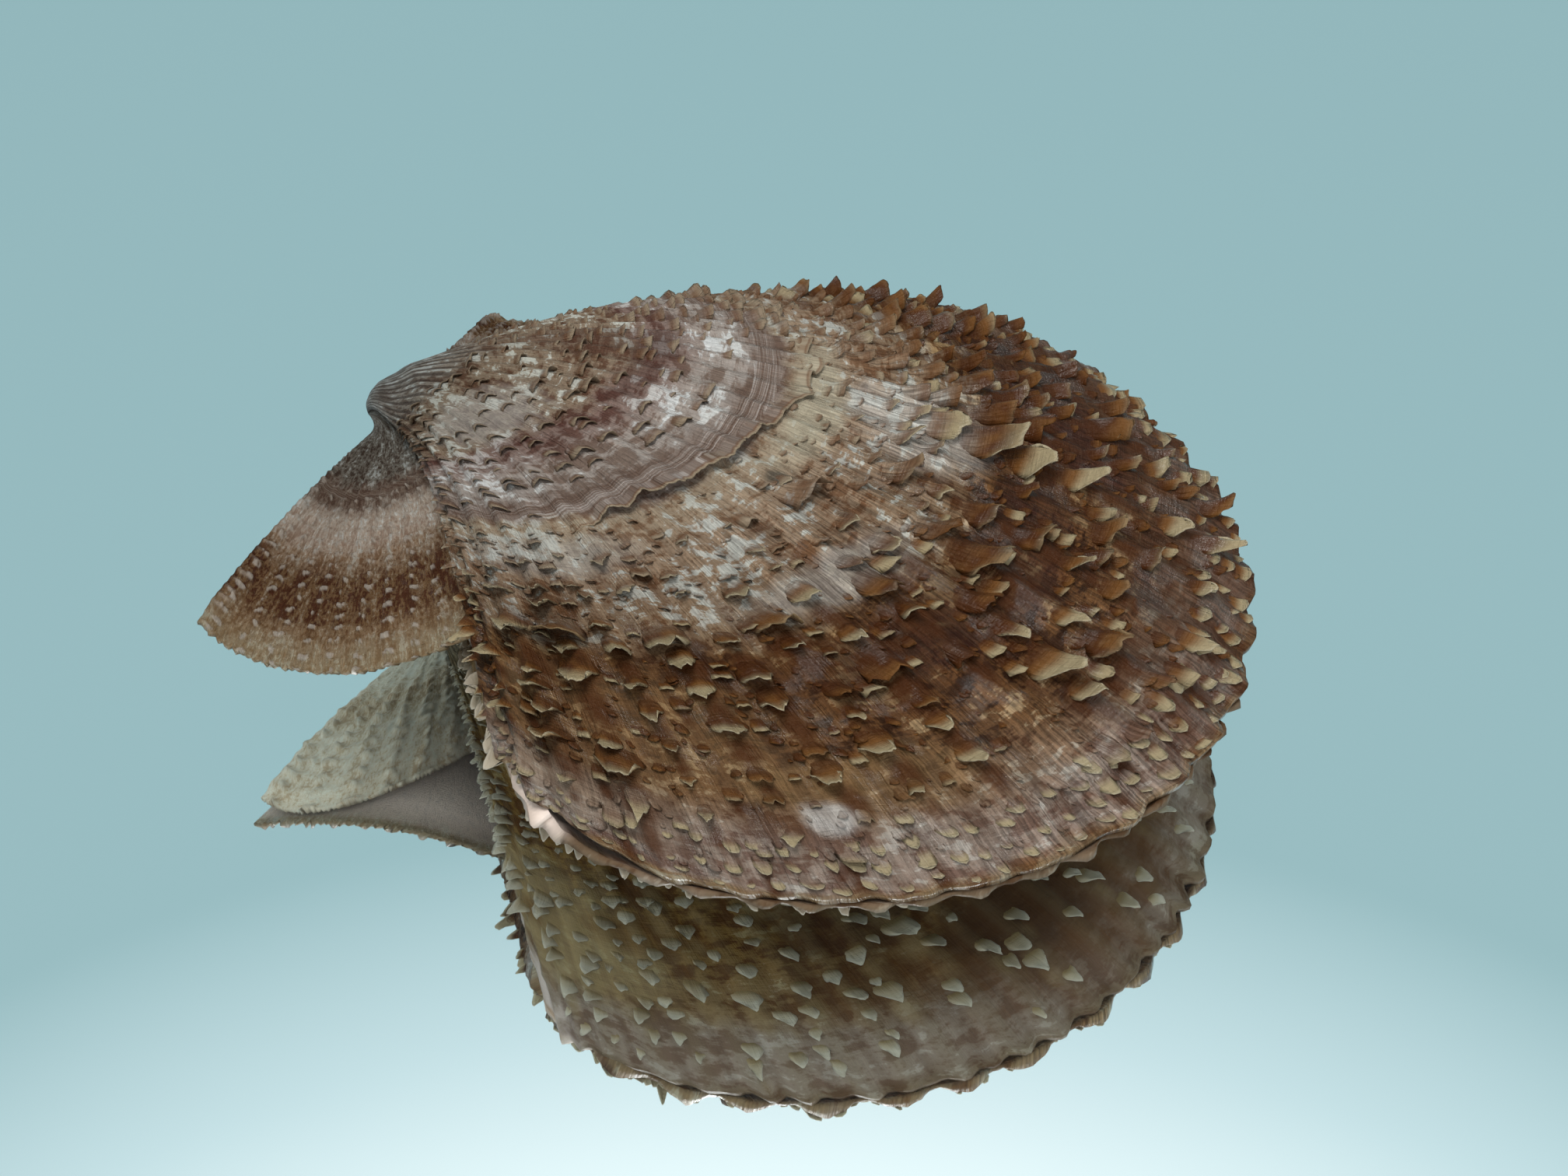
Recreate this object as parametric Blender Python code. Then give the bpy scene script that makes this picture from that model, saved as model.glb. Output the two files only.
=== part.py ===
"""A scaly scallop shell: two closed valves on their hinge ligament, lying on the right valve.

Frame: metres, +Z up through the left valve, +Y towards the hinge, -Y towards the rounded ventral
margin, -X towards the big anterior ears. The origin is the middle of the bounding box's bottom.

Each valve is one growth surface. A margin line grows from the umbo by a scale factor called growth
(0 at the umbo, 1 at today's margin) while it turns about the hinge line, which makes the dome, the
steep flanks and the flat ears together. The outside is that surface lifted by the wall, with scales
raised on its ribs. The lining is the same surface grown from a slightly narrower margin line.
"""

import math
import random

import bmesh
import bpy
import numpy as np
from mathutils import Euler, Vector

MM = 0.001

# Driving sizes of the shell.
SHELL_HEIGHT = 70 * MM          # umbo to ventral margin, on the inside
VALVE_GAP = 0.3 * MM            # between the two valves where they meet
RIBS = 26                       # scaly ribs on each valve's disc

# Outline of the disc, in shell heights from the umbo.
DISC_CENTRE = (0.002, -0.515)
DISC_HALF_LENGTH = 0.464
DISC_HALF_HEIGHT = 0.485
ANTERIOR_RAY = math.radians(44.7)   # straight edges that run out of the umbo, from -Y
POSTERIOR_RAY = math.radians(45.0)
SHOULDER_SMOOTHING = 400            # passes that round the disc's corners

# Ears, in shell heights: hinge length, how far down the ray they reach, and the bulge of their margin.
LEFT_EAR = {"hinge": 0.390, "reach": 0.398, "bulge": (0.402, 0.069)}
RIGHT_EAR = {"hinge": 0.369, "reach": 0.218, "bulge": (0.410, 0.151)}
POSTERIOR_EAR = {"hinge": 0.160, "reach": 0.29, "bulge": (0.22, 0.10)}
EAR_DROOP = (0.105, 0.128)          # how far the anterior ears sag, at the hinge and midway

# How far each valve turns about the hinge as it grows, in radians.
LEFT_COIL = 0.363
BEAK_CURL = 0.60
BEAK_CURL_SPAN = 0.05
RIGHT_COIL = 0.107
RIGHT_BOWL = 0.362

# Near the umbo the growth lines stray from their line: forwards on both valves, and on the left
# valve also out over the hinge.
LEFT_LEAN = 3.8 * MM
RIGHT_LEAN = 1.6 * MM
LINING_LEAN = 0.7 * MM              # how much less each lining leans than its outside
LEAN_SPAN = 0.45
BEAK_OVERHANG = 1.6 * MM
OVERHANG_SPAN = 0.15

# Walls, thinnest at the beak and the margin.
DISC_WALL = 1.8 * MM
EAR_WALL = 1.25 * MM
WALL_AT_BEAK = 0.2 * MM
WALL_SLOPE = 0.07                   # how fast the wall thickens away from the beak
LEFT_BEAK_WALL = 1.3 * MM           # how far the lining's umbo lies from the outer one's, towards -Y
RIGHT_BEAK_WALL = 0.7 * MM
FLANK_WALL = math.radians(1.6)      # how much narrower the lining's rays are on each side
UMBO_SWELLING = 1.2 * MM
SWELLING_PEAK = 0.13                # growth at which the umbo is most swollen
LEFT_SCALE_HEIGHT = 1.9 * MM
RIGHT_SCALE_HEIGHT = 2.3 * MM
MARGIN_TOOTH = 0.016                # how far a rib passes the margin, in shell heights
PLAIN_FLANK = math.radians(3.5)     # the rib-free strip beside each ray

# The ligament is a flat strip in a groove along the hinge.
LIGAMENT_THICKNESS = 0.5 * MM
LIGAMENT_WIDTH = 1.0 * MM
LIGAMENT_SHARE = 0.9                # of each side's hinge length
HINGE_GROOVE = 0.55 * MM
HINGE_GROOVE_SPAN = 1.6 * MM

# How the shell lies: turned from the plane where the valves meet, and the umbo's place.
REST_PITCH = math.radians(1.99)
REST_ROLL = math.radians(1.82)
UMBO_PLACE = (-0.07 * MM, 34.64 * MM, 13.00 * MM)

# Growth of each row of vertices. Each scale has a tip row and, just past it, a foot row.
ROWS = (0, 0.05, 0.10, 0.16, 0.23, 0.31, 0.39, 0.47, 0.50, 0.60, 0.63, 0.73, 0.76, 0.86, 0.89, 0.97, 1.0)
TIP_ROWS = (7, 9, 11, 13, 15)
STAGGER = 0.022                     # scales on neighbouring ribs are out of step by twice this
POSTERIOR_EAR_COLUMNS = 4
DISC_COLUMNS = 2 * RIBS


def clean_scene():
    """Removes whatever the scene held before."""
    for thing in list(bpy.data.objects):
        bpy.data.objects.remove(thing, do_unlink=True)


def make_material(name, colour, roughness):
    material = bpy.data.materials.new(name)
    material.use_nodes = True
    shader = material.node_tree.nodes["Principled BSDF"]
    shader.inputs["Base Color"].default_value = (*colour, 1.0)
    shader.inputs["Roughness"].default_value = roughness
    shader.inputs["Metallic"].default_value = 0.0
    return material


def resample(points, intervals):
    """Evenly spaced points along a line of points."""
    steps = np.linalg.norm(np.diff(points, axis=0), axis=1)
    length = np.concatenate([[0.0], np.cumsum(steps)])
    wanted = np.linspace(0.0, length[-1], intervals + 1)
    return np.stack([np.interp(wanted, length, points[:, axis]) for axis in (0, 1)], axis=1)


def ray(angle):
    """Unit direction out of the umbo, turned from -Y towards +X."""
    return np.array([math.sin(angle), -math.cos(angle)])


def disc_radius(angle):
    """Distance from the umbo to the far side of the disc's ellipse along a ray."""
    way = ray(angle)
    radii = np.array([DISC_HALF_LENGTH, DISC_HALF_HEIGHT])
    start = -np.array(DISC_CENTRE) / radii
    step = way / radii
    square = step @ step
    half = start @ step
    return (-half + math.sqrt(half * half - square * (start @ start - 1.0))) / square


def ear_margin(ear, ray_angle, side, intervals):
    """Quadratic curve from the ear's hinge tip to its corner with the disc."""
    tip = np.array([side * ear["hinge"], 0.0])
    bulge = np.array([side * ear["bulge"][0], -ear["bulge"][1]])
    corner = ray(side * ray_angle) * ear["reach"]
    share = np.linspace(0.0, 1.0, 60)[:, None]
    curve = (1 - share) ** 2 * tip + 2 * share * (1 - share) * bulge + share**2 * corner
    return resample(curve, intervals)


def disc_margin(anterior_ear, inset):
    """The disc's edge from corner to corner: a straight ray, the round margin, a straight ray."""
    angles = np.linspace(inset - ANTERIOR_RAY, POSTERIOR_RAY - inset, 400)
    round_part = np.array([ray(angle) * disc_radius(angle) for angle in angles])
    corners = (
        ray(angles[0]) * anterior_ear["reach"],
        ray(angles[-1]) * POSTERIOR_EAR["reach"],
    )
    line = resample(np.vstack([corners[0], round_part, corners[1]]), 600)
    for _ in range(SHOULDER_SMOOTHING):
        line[1:-1] = 0.25 * line[:-2] + 0.5 * line[1:-1] + 0.25 * line[2:]
    return resample(line, DISC_COLUMNS)


def whole_margin(anterior_ear, ear_columns, inset):
    """Margin points from the anterior hinge tip round to the posterior one."""
    front = ear_margin(anterior_ear, ANTERIOR_RAY - inset, -1, ear_columns)
    back = ear_margin(POSTERIOR_EAR, POSTERIOR_RAY - inset, 1, POSTERIOR_EAR_COLUMNS)
    return np.vstack([front[:-1], disc_margin(anterior_ear, inset), back[::-1][1:]])


def ear_sag(x, y):
    """How far the anterior ears hang below the plane where the valves meet."""
    if x >= 0:
        return 0.0
    if y >= 0:
        return -x * EAR_DROOP[0]
    turn = (math.atan2(-x, -y) - ANTERIOR_RAY) / (math.pi / 2 - ANTERIOR_RAY)
    share = min(max(turn, 0.0), 1.0)
    return math.hypot(x, y) * (EAR_DROOP[0] * share + EAR_DROOP[1] * math.sin(math.pi * share))


def left_turn(growth):
    curl = BEAK_CURL * math.exp(-((growth / BEAK_CURL_SPAN) ** 1.5))
    return LEFT_COIL * -math.log(max(growth, 0.02)) + curl


def right_turn(growth):
    return RIGHT_COIL * -math.log(max(growth, 0.02)) + RIGHT_BOWL * (1.0 - growth)


def grown_point(margin_point, growth, turn, side, wall, beak_wall, lean):
    """A point of a valve. side is 1 for the left valve and -1 for the right one."""
    angle = turn(growth)
    x = growth * margin_point[0] * SHELL_HEIGHT
    y = growth * margin_point[1] * math.cos(angle) * SHELL_HEIGHT
    lift = -growth * margin_point[1] * math.sin(angle) * SHELL_HEIGHT
    lift += wall + VALVE_GAP / 2 + HINGE_GROOVE * math.exp(-((y / HINGE_GROOVE_SPAN) ** 2))
    x -= lean * max(0.0, 1.0 - growth / LEAN_SPAN) ** 2
    y -= beak_wall * (1.0 - growth)
    sag = ear_sag(x, y)
    if side > 0:
        y += BEAK_OVERHANG * max(0.0, 1.0 - growth / OVERHANG_SPAN) ** 2
    return Vector((x, y, side * lift - sag))


def wall_thickness(margin_point, growth, across, swelling):
    """Thin at the beak, full on the disc, thinner near the margin. across is None on an ear."""
    distance = growth * math.hypot(*margin_point) * SHELL_HEIGHT
    full = EAR_WALL if across is None else DISC_WALL
    edge = 1.0 - 0.45 * min(max((growth - 0.75) / 0.25, 0.0), 1.0)
    wall = min(full, WALL_AT_BEAK + WALL_SLOPE * distance) * edge
    if across is not None:
        share = growth / SWELLING_PEAK
        wall += swelling * math.sin(math.pi * across) * (share * math.exp(1.0 - share)) ** 2
    return wall


def rib_at(margin_point, place):
    """The number of the rib whose crest a column of vertices runs along, or None."""
    angle = math.atan2(margin_point[0], -margin_point[1])
    if place % 2 == 1 and PLAIN_FLANK - ANTERIOR_RAY < angle < POSTERIOR_RAY - PLAIN_FLANK:
        return place // 2
    return None


def crest_growth(row, rib):
    """Growth at a crest's vertex: staggered from rib to rib, with a tooth at the margin."""
    growth = ROWS[row]
    if row == len(ROWS) - 1:
        return growth + MARGIN_TOOTH
    if row < TIP_ROWS[0]:
        return growth
    return growth + (STAGGER if rib % 2 else -STAGGER) * min(1.0, (1.0 - growth) / 0.1)


def add_sheet(mesh, columns, point_at):
    """Adds a grid whose vertices lie where point_at(row, column) says, closed to a point at row 0."""
    rows = len(ROWS) - 1
    sheet = bmesh.ops.create_grid(mesh, x_segments=columns, y_segments=rows, size=0.5)["verts"]
    places = {}
    for vertex in sheet:
        column = round((vertex.co.x + 0.5) * columns)
        row = round((vertex.co.y + 0.5) * rows)
        places[vertex] = (row, column)
    for vertex, (row, column) in places.items():
        vertex.co = point_at(row, column)
    first = [vertex for vertex, (row, _) in places.items() if row == 0]
    bmesh.ops.remove_doubles(mesh, verts=first, dist=0.01 * MM)
    return {vertex: place for vertex, place in places.items() if vertex.is_valid}


def raise_scales(mesh, sheet, ribs, scale_height, side, chance):
    """Moves the tips of the scales out along the smooth shell's normals, but not below the floor."""
    lie = Euler((REST_PITCH, REST_ROLL, 0.0)).to_matrix()
    mesh.normal_update()
    tips = {}
    for vertex, (row, column) in sheet.items():
        if row in TIP_ROWS and ribs[column] is not None:
            height = scale_height * (0.35 + 0.65 * ROWS[row]) * chance.uniform(0.8, 1.0)
            outward = vertex.normal * -side
            above_floor = (lie @ vertex.co).z + UMBO_PLACE[2]
            fall = -(lie @ outward).z
            if fall > 0:
                height = min(height, above_floor / fall)
            tips[vertex] = vertex.co + outward * height
    for vertex, place in tips.items():
        vertex.co = place


def make_valve(
    name, anterior_ear, ear_columns, turn, side, lean, swelling, beak_wall, scale_height, material
):
    """A valve: its outside with the scales, its lining, and the rim that joins the two."""
    outline = whole_margin(anterior_ear, ear_columns, 0.0)
    lining_outline = whole_margin(anterior_ear, ear_columns, FLANK_WALL)
    columns = len(outline) - 1
    ribs = [rib_at(point, column - ear_columns) for column, point in enumerate(outline)]

    def outer_point(row, column):
        growth = ROWS[row] if ribs[column] is None else crest_growth(row, ribs[column])
        across = (column - ear_columns) / DISC_COLUMNS
        wall = wall_thickness(outline[column], growth, across if 0 < across < 1 else None, swelling)
        return grown_point(outline[column], growth, turn, side, wall, 0.0, lean)

    def lining_point(row, column):
        inner_lean = lean - LINING_LEAN
        return grown_point(lining_outline[column], ROWS[row], turn, side, 0.0, beak_wall, inner_lean)

    solid = bmesh.new()
    outside = add_sheet(solid, columns, outer_point)
    raise_scales(solid, outside, ribs, scale_height, side, random.Random(name))
    add_sheet(solid, columns, lining_point)
    bmesh.ops.bridge_loops(solid, edges=[edge for edge in solid.edges if edge.is_boundary])
    bmesh.ops.triangulate(solid, faces=solid.faces[:])
    bmesh.ops.recalc_face_normals(solid, faces=solid.faces[:])

    mesh = bpy.data.meshes.new(name)
    solid.to_mesh(mesh)
    solid.free()
    mesh.materials.append(material)
    mesh.shade_smooth()
    return bpy.data.objects.new(name, mesh)


def make_ligament(material):
    """The elastic strip along the hinge, which follows the sag of the anterior ears."""
    front = -LEFT_EAR["hinge"] * SHELL_HEIGHT * LIGAMENT_SHARE
    back = POSTERIOR_EAR["hinge"] * SHELL_HEIGHT * LIGAMENT_SHARE
    path = bpy.data.curves.new("hinge_ligament", "CURVE")
    path.dimensions = "2D"
    path.fill_mode = "NONE"
    path.bevel_depth = LIGAMENT_THICKNESS / 2
    path.bevel_resolution = 2
    path.extrude = (LIGAMENT_WIDTH - LIGAMENT_THICKNESS) / 2
    path.use_fill_caps = True
    places = list(np.linspace(front, 0.0, 6)) + list(np.linspace(0.0, back, 4))[1:]
    spline = path.splines.new("POLY")
    spline.points.add(len(places) - 1)
    for point, x in zip(spline.points, places):
        point.co = (x, -ear_sag(x, 0.0), 0.0, 1.0)
    path.materials.append(material)
    strip = bpy.data.objects.new("hinge_ligament", path)
    strip.rotation_euler = (math.pi / 2, 0.0, 0.0)
    return strip


def main():
    clean_scene()
    shell = bpy.data.collections.new("scallop_shell")
    bpy.context.scene.collection.children.link(shell)
    rest = bpy.data.objects.new("rest", None)
    rest.rotation_euler = (REST_PITCH, REST_ROLL, 0.0)
    rest.location = UMBO_PLACE
    shell.objects.link(rest)

    brown = make_material("mottled_valve", (0.34, 0.20, 0.12), 0.45)
    olive = make_material("pale_scaled_valve", (0.40, 0.29, 0.19), 0.5)
    horn = make_material("ligament_horn", (0.06, 0.035, 0.02), 0.55)
    pieces = [
        make_valve(
            "left_valve", LEFT_EAR, 7, left_turn, 1, LEFT_LEAN,
            UMBO_SWELLING, LEFT_BEAK_WALL, LEFT_SCALE_HEIGHT, brown,
        ),
        make_valve(
            "right_valve", RIGHT_EAR, 6, right_turn, -1, RIGHT_LEAN,
            0.0, RIGHT_BEAK_WALL, RIGHT_SCALE_HEIGHT, olive,
        ),
        make_ligament(horn),
    ]
    for piece in pieces:
        piece.parent = rest
        shell.objects.link(piece)


main()
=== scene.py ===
"""Looks of a closed scaly scallop shell, lying on its flatter right valve.

Lengths are in metres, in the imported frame: +Z up through the left valve, +Y towards the hinge, -X
towards the big anterior ears. A place on a valve is given by its growth (0 at the umbo, 1 at today's
margin) and by across (0 to 1 over the disc from the front to the back, below 0 on the anterior ear
and above 1 on the posterior one). Relief, scales, bands and mottling all follow these two.
"""

import logging
import math
from collections.abc import Callable, Sequence
from dataclasses import dataclass, field, replace
from enum import Enum
from typing import ClassVar

import bmesh
import bpy
import numpy as np
from mathutils import Euler, Matrix, Vector


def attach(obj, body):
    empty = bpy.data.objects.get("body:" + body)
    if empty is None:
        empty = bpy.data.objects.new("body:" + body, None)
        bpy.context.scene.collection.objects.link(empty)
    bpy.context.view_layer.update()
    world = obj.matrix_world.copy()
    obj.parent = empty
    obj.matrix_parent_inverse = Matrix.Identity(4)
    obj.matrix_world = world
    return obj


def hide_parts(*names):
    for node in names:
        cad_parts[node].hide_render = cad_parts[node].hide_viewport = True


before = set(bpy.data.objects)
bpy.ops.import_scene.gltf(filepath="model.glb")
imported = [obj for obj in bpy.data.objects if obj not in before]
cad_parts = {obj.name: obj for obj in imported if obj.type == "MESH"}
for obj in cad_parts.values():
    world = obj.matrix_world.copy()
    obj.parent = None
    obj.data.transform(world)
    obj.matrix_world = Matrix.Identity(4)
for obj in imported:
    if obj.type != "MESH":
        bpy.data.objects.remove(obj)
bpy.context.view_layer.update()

LOG = logging.getLogger("scallop")
MM = 0.001
Colour = tuple[float, float, float]
Array = np.ndarray

# What every corner carries for the finishes: its place, how far it is on a crest, on the lining and
# towards a scale's tip, its scale's own shade, and how deep it lies in the hollow before a scale,
# which takes painted shade with dark stain.
FACTS = ("growth", "across", "crest", "lining", "tip", "shade", "pocket")

SHELL_HEIGHT = 70 * MM
VALVE_GAP = 0.3 * MM
ANTERIOR_RAY = math.radians(44.7)
POSTERIOR_RAY = math.radians(45.0)
DISC_CENTRE = np.array([0.002, -0.515])
DISC_RADII = np.array([0.464, 0.485])
SHOULDER_SMOOTHING = 400
EAR_DROOP = (0.105, 0.128)

DISC_WALL = 1.8 * MM
EAR_WALL = 1.25 * MM
WALL_AT_BEAK = 0.2 * MM
WALL_SLOPE = 0.07
FLANK_WALL = math.radians(1.6)
LINING_LEAN = 0.7 * MM
HINGE_GROOVE = 0.55 * MM
HINGE_GROOVE_SPAN = 1.6 * MM

REST_TURN = np.array(Euler((math.radians(1.99), math.radians(1.82), 0.0)).to_matrix())
UMBO_PLACE = np.array([-0.07, 34.64, 13.00]) * MM
HIGHEST = 24.6 * MM


class Side(Enum):
    """Which valve a surface belongs to, and which way its outside faces."""

    LEFT = 1
    RIGHT = -1


def smooth(value: Array, low: float, high: float) -> Array:
    """Eases a step of a value from 0 at low to 1 at high, or a fall where high is below low."""
    share = np.clip((np.asarray(value, float) - low) / (high - low), 0.0, 1.0)
    return share * share * (3.0 - 2.0 * share)


def hump(value: Array, middle: float, width: float) -> Array:
    """Bell of height 1 round a middle."""
    return np.exp(-(((np.asarray(value, float) - middle) / width) ** 2))


def ripple(seed: int, x: Array, y: Array | float = 0.0, waves: int = 6) -> Array:
    """Smooth random field of a few sines, between about -1 and 1.

    Args:
        seed: picks the sines.
        x: first coordinate, in cycles.
        y: second coordinate, in cycles.
        waves: how many sines are added.

    Returns:
        The field at each place.
    """
    chance = np.random.default_rng(seed)
    total = 0.0
    for _ in range(waves):
        fx, fy = chance.uniform(0.4, 1.6), chance.uniform(0.4, 1.6) * chance.choice((-1, 1))
        total = total + np.sin(2 * math.pi * (fx * x + fy * np.asarray(y) + chance.uniform()))
    return total / waves * 1.6


def growth_stop(before: Array, reach: float) -> Array:
    """Swelling, 0 to 1, over the last reach of growth before an edge, and nothing past it."""
    return np.where(before > 0, np.exp(-np.maximum(before, 0.0) / reach), 0.0)


def resample(points: Array, intervals: int) -> Array:
    """Evenly spaced points along a line of points.

    Args:
        points: the line, one row a point.
        intervals: how many steps to cut it into.

    Returns:
        intervals + 1 points.
    """
    length = np.concatenate([[0.0], np.cumsum(np.linalg.norm(np.diff(points, axis=0), axis=1))])
    wanted = np.linspace(0.0, length[-1], intervals + 1)
    return np.stack([np.interp(wanted, length, points[:, axis]) for axis in (0, 1)], axis=1)


def ray(angle: float) -> Array:
    """Unit direction out of the umbo, turned from -Y towards +X."""
    return np.array([math.sin(angle), -math.cos(angle)])


@dataclass(frozen=True)
class Ear:
    """Outline of one ear, in shell heights from the umbo.

    hinge is the hinge line's length, reach the distance to the corner with the disc, and bulge the
    place that the free edge bends towards.
    """

    hinge: float
    reach: float
    bulge: tuple[float, float]

    def margin(self, ray_angle: float, way: int) -> Array:
        """Curve of the ear's free edge.

        Args:
            ray_angle: angle of the ray that the ear shares with the disc.
            way: -1 for the anterior side, 1 for the posterior one.

        Returns:
            Points from the hinge tip to the corner with the disc.
        """
        tip = np.array([way * self.hinge, 0.0])
        bulge = np.array([way * self.bulge[0], -self.bulge[1]])
        corner = ray(way * ray_angle) * self.reach
        share = np.linspace(0.0, 1.0, 60)[:, None]
        curve = (1 - share) ** 2 * tip + 2 * share * (1 - share) * bulge + share**2 * corner
        return resample(curve, 200)


@dataclass(frozen=True)
class Coil:
    """How a valve turns about the hinge, leans and swells as it grows.

    spiral and bowl are how fast it turns and curl how much more it does at the beak. lean moves the
    beak forward, overhang moves it over the hinge, and swelling thickens the shell near it. Each span
    or peak is the growth up to which that is felt.
    """

    spiral: float
    bowl: float = 0.0
    curl: float = 0.0
    curl_span: float = 0.05
    lean: float = 0.0
    lean_span: float = 0.45
    overhang: float = 0.0
    overhang_span: float = 0.15
    swelling: float = 0.0
    swelling_peak: float = 0.13

    def turn(self, growth: Array) -> Array:
        """Finds how far the valve has turned.

        Args:
            growth: growth of each place.

        Returns:
            Angles about the hinge.
        """
        kept = np.maximum(growth, 0.0)
        curl = self.curl * np.exp(-((kept / self.curl_span) ** 1.5))
        return self.spiral * -np.log(np.maximum(kept, 0.02)) + self.bowl * (1.0 - kept) + curl


POSTERIOR_EAR = Ear(0.160, 0.29, (0.22, 0.10))


@dataclass
class GrowthSurface:
    """The smooth outside and lining of one valve, as functions of growth and across.

    lining_shift is how far the lining's umbo lies inside the outer one's. margins holds the edges of
    the outside and of the narrower lining, by how much narrower their rays are.
    """

    side: Side
    ear: Ear
    coil: Coil
    lining_shift: float
    margins: dict[float, tuple[Array, Array, Array]] = field(init=False)

    def __post_init__(self) -> None:
        """Draws the margin lines."""
        self.margins = {inset: self._margins(inset) for inset in (0.0, FLANK_WALL)}

    def _margins(self, inset: float) -> tuple[Array, Array, Array]:
        """Draws the margin line of each part of the valve.

        Args:
            inset: how much narrower the rays are than the outside's.

        Returns:
            The edges of the anterior ear, the disc and the posterior ear.
        """
        front, back = ANTERIOR_RAY - inset, POSTERIOR_RAY - inset
        angles = np.linspace(-front, back, 400)
        ways = np.stack([np.sin(angles), -np.cos(angles)], axis=1)
        start, step = -DISC_CENTRE / DISC_RADII, ways / DISC_RADII
        square, half = (step**2).sum(axis=1), step @ start
        radii = (-half + np.sqrt(half**2 - square * (start @ start - 1.0))) / square
        ends = [ray(-front) * self.ear.reach], [ray(back) * POSTERIOR_EAR.reach]
        line = resample(np.vstack([ends[0], ways * radii[:, None], ends[1]]), 600)
        for _ in range(SHOULDER_SMOOTHING):
            line[1:-1] = 0.25 * line[:-2] + 0.5 * line[1:-1] + 0.25 * line[2:]
        return self.ear.margin(front, -1), resample(line, 1200), POSTERIOR_EAR.margin(back, 1)[::-1]

    def margin(self, across: Array, inset: float = 0.0) -> Array:
        """Margin points, in shell heights.

        Args:
            across: places along the margin.
            inset: 0 for the outside, or how much narrower the lining's rays are.

        Returns:
            An array with a last axis of 2.
        """
        anterior, disc, posterior = (
            np.stack([np.interp(place, np.linspace(0, 1, len(line)), line[:, axis]) for axis in (0, 1)], -1)
            for place, line in zip(
                (np.clip(across + shift, 0, 1) for shift in (1.0, 0.0, -1.0)), self.margins[inset]
            )
        )
        beside = np.where((across > 1)[..., None], posterior, disc)
        return np.where((across < 0)[..., None], anterior, beside)

    def wall(self, growth: Array, across: Array) -> Array:
        """Thickness of the wall: thin at the beak, full on the disc, thinner at the margin.

        Args:
            growth: growth of each place.
            across: place along the margin.

        Returns:
            Thickness in metres.
        """
        disc = (across > 0) & (across < 1)
        distance = growth * np.linalg.norm(self.margin(across), axis=-1) * SHELL_HEIGHT
        full = np.where(disc, DISC_WALL, EAR_WALL)
        late = np.clip((growth - 0.75) / 0.25, 0.0, 1.0)
        edge = (1.0 - 0.45 * late) * (1.0 - 0.6 * smooth(growth, 0.93, 1.0))
        share = growth / self.coil.swelling_peak
        swelling = self.coil.swelling * np.sin(math.pi * np.clip(across, 0, 1))
        swelling = swelling * (share * np.exp(1 - share)) ** 2
        return np.minimum(full, WALL_AT_BEAK + WALL_SLOPE * distance) * edge + swelling

    @staticmethod
    def ear_sag(x: Array, y: Array) -> Array:
        """How far the anterior ears hang below the plane where the valves meet.

        Args:
            x: place from the umbo along the hinge.
            y: place from the umbo away from the margin.

        Returns:
            The sag in metres, 0 off the anterior ears.
        """
        share = np.clip((np.arctan2(-x, -y) - ANTERIOR_RAY) / (math.pi / 2 - ANTERIOR_RAY), 0.0, 1.0)
        hang = np.hypot(x, y) * (EAR_DROOP[0] * share + EAR_DROOP[1] * np.sin(math.pi * share))
        return np.where(x >= 0, 0.0, np.where(y >= 0, -x * EAR_DROOP[0], hang))

    def place(self, growth: Array, across: Array, lining: bool = False) -> Array:
        """Points of the valve at rest.

        Args:
            growth: growth of each point.
            across: place of each point along the margin.
            lining: True for the inside, False for the smooth outside.

        Returns:
            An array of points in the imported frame.
        """
        growth, across = np.broadcast_arrays(np.asarray(growth, float), np.asarray(across, float))
        coil, shift = self.coil, self.lining_shift if lining else 0.0
        edge = self.margin(across, FLANK_WALL if lining else 0.0)
        angle = coil.turn(growth)
        x = growth * edge[..., 0] * SHELL_HEIGHT
        y = growth * edge[..., 1] * np.cos(angle) * SHELL_HEIGHT
        lift = -growth * edge[..., 1] * np.sin(angle) * SHELL_HEIGHT + VALVE_GAP / 2
        lift = lift + HINGE_GROOVE * np.exp(-((y / HINGE_GROOVE_SPAN) ** 2))
        if not lining:
            lift = lift + self.wall(growth, across)
        lean = coil.lean - (LINING_LEAN if lining else 0.0)
        x = x - lean * np.clip(1.0 - growth / coil.lean_span, 0.0, 1.0) ** 2
        y = y - shift * (1.0 - growth)
        sag = self.ear_sag(x, y)
        y = y + coil.overhang * np.clip(1.0 - growth / coil.overhang_span, 0.0, 1.0) ** 2
        local = np.stack([x, y, self.side.value * lift - sag], axis=-1)
        return local @ REST_TURN.T + UMBO_PLACE

    def normal(self, growth: Array, across: Array, reach: float = 0.012) -> Array:
        """Unit directions out of the smooth outside.

        Args:
            growth: growth of each place.
            across: place along the margin.
            reach: how far to each side the direction is averaged.

        Returns:
            An array with a last axis of 3.
        """
        growth, across = np.broadcast_arrays(np.asarray(growth, float), np.asarray(across, float))
        along = self.place(growth + reach, across) - self.place(np.maximum(growth - reach, 0.0), across)
        ahead, back = np.minimum(across + reach, 2.0), np.maximum(across - reach, -1.0)
        normal = np.cross(along, self.place(growth, ahead) - self.place(growth, back)) * self.side.value
        return normal / np.maximum(np.linalg.norm(normal, axis=-1, keepdims=True), 1e-12)


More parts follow.
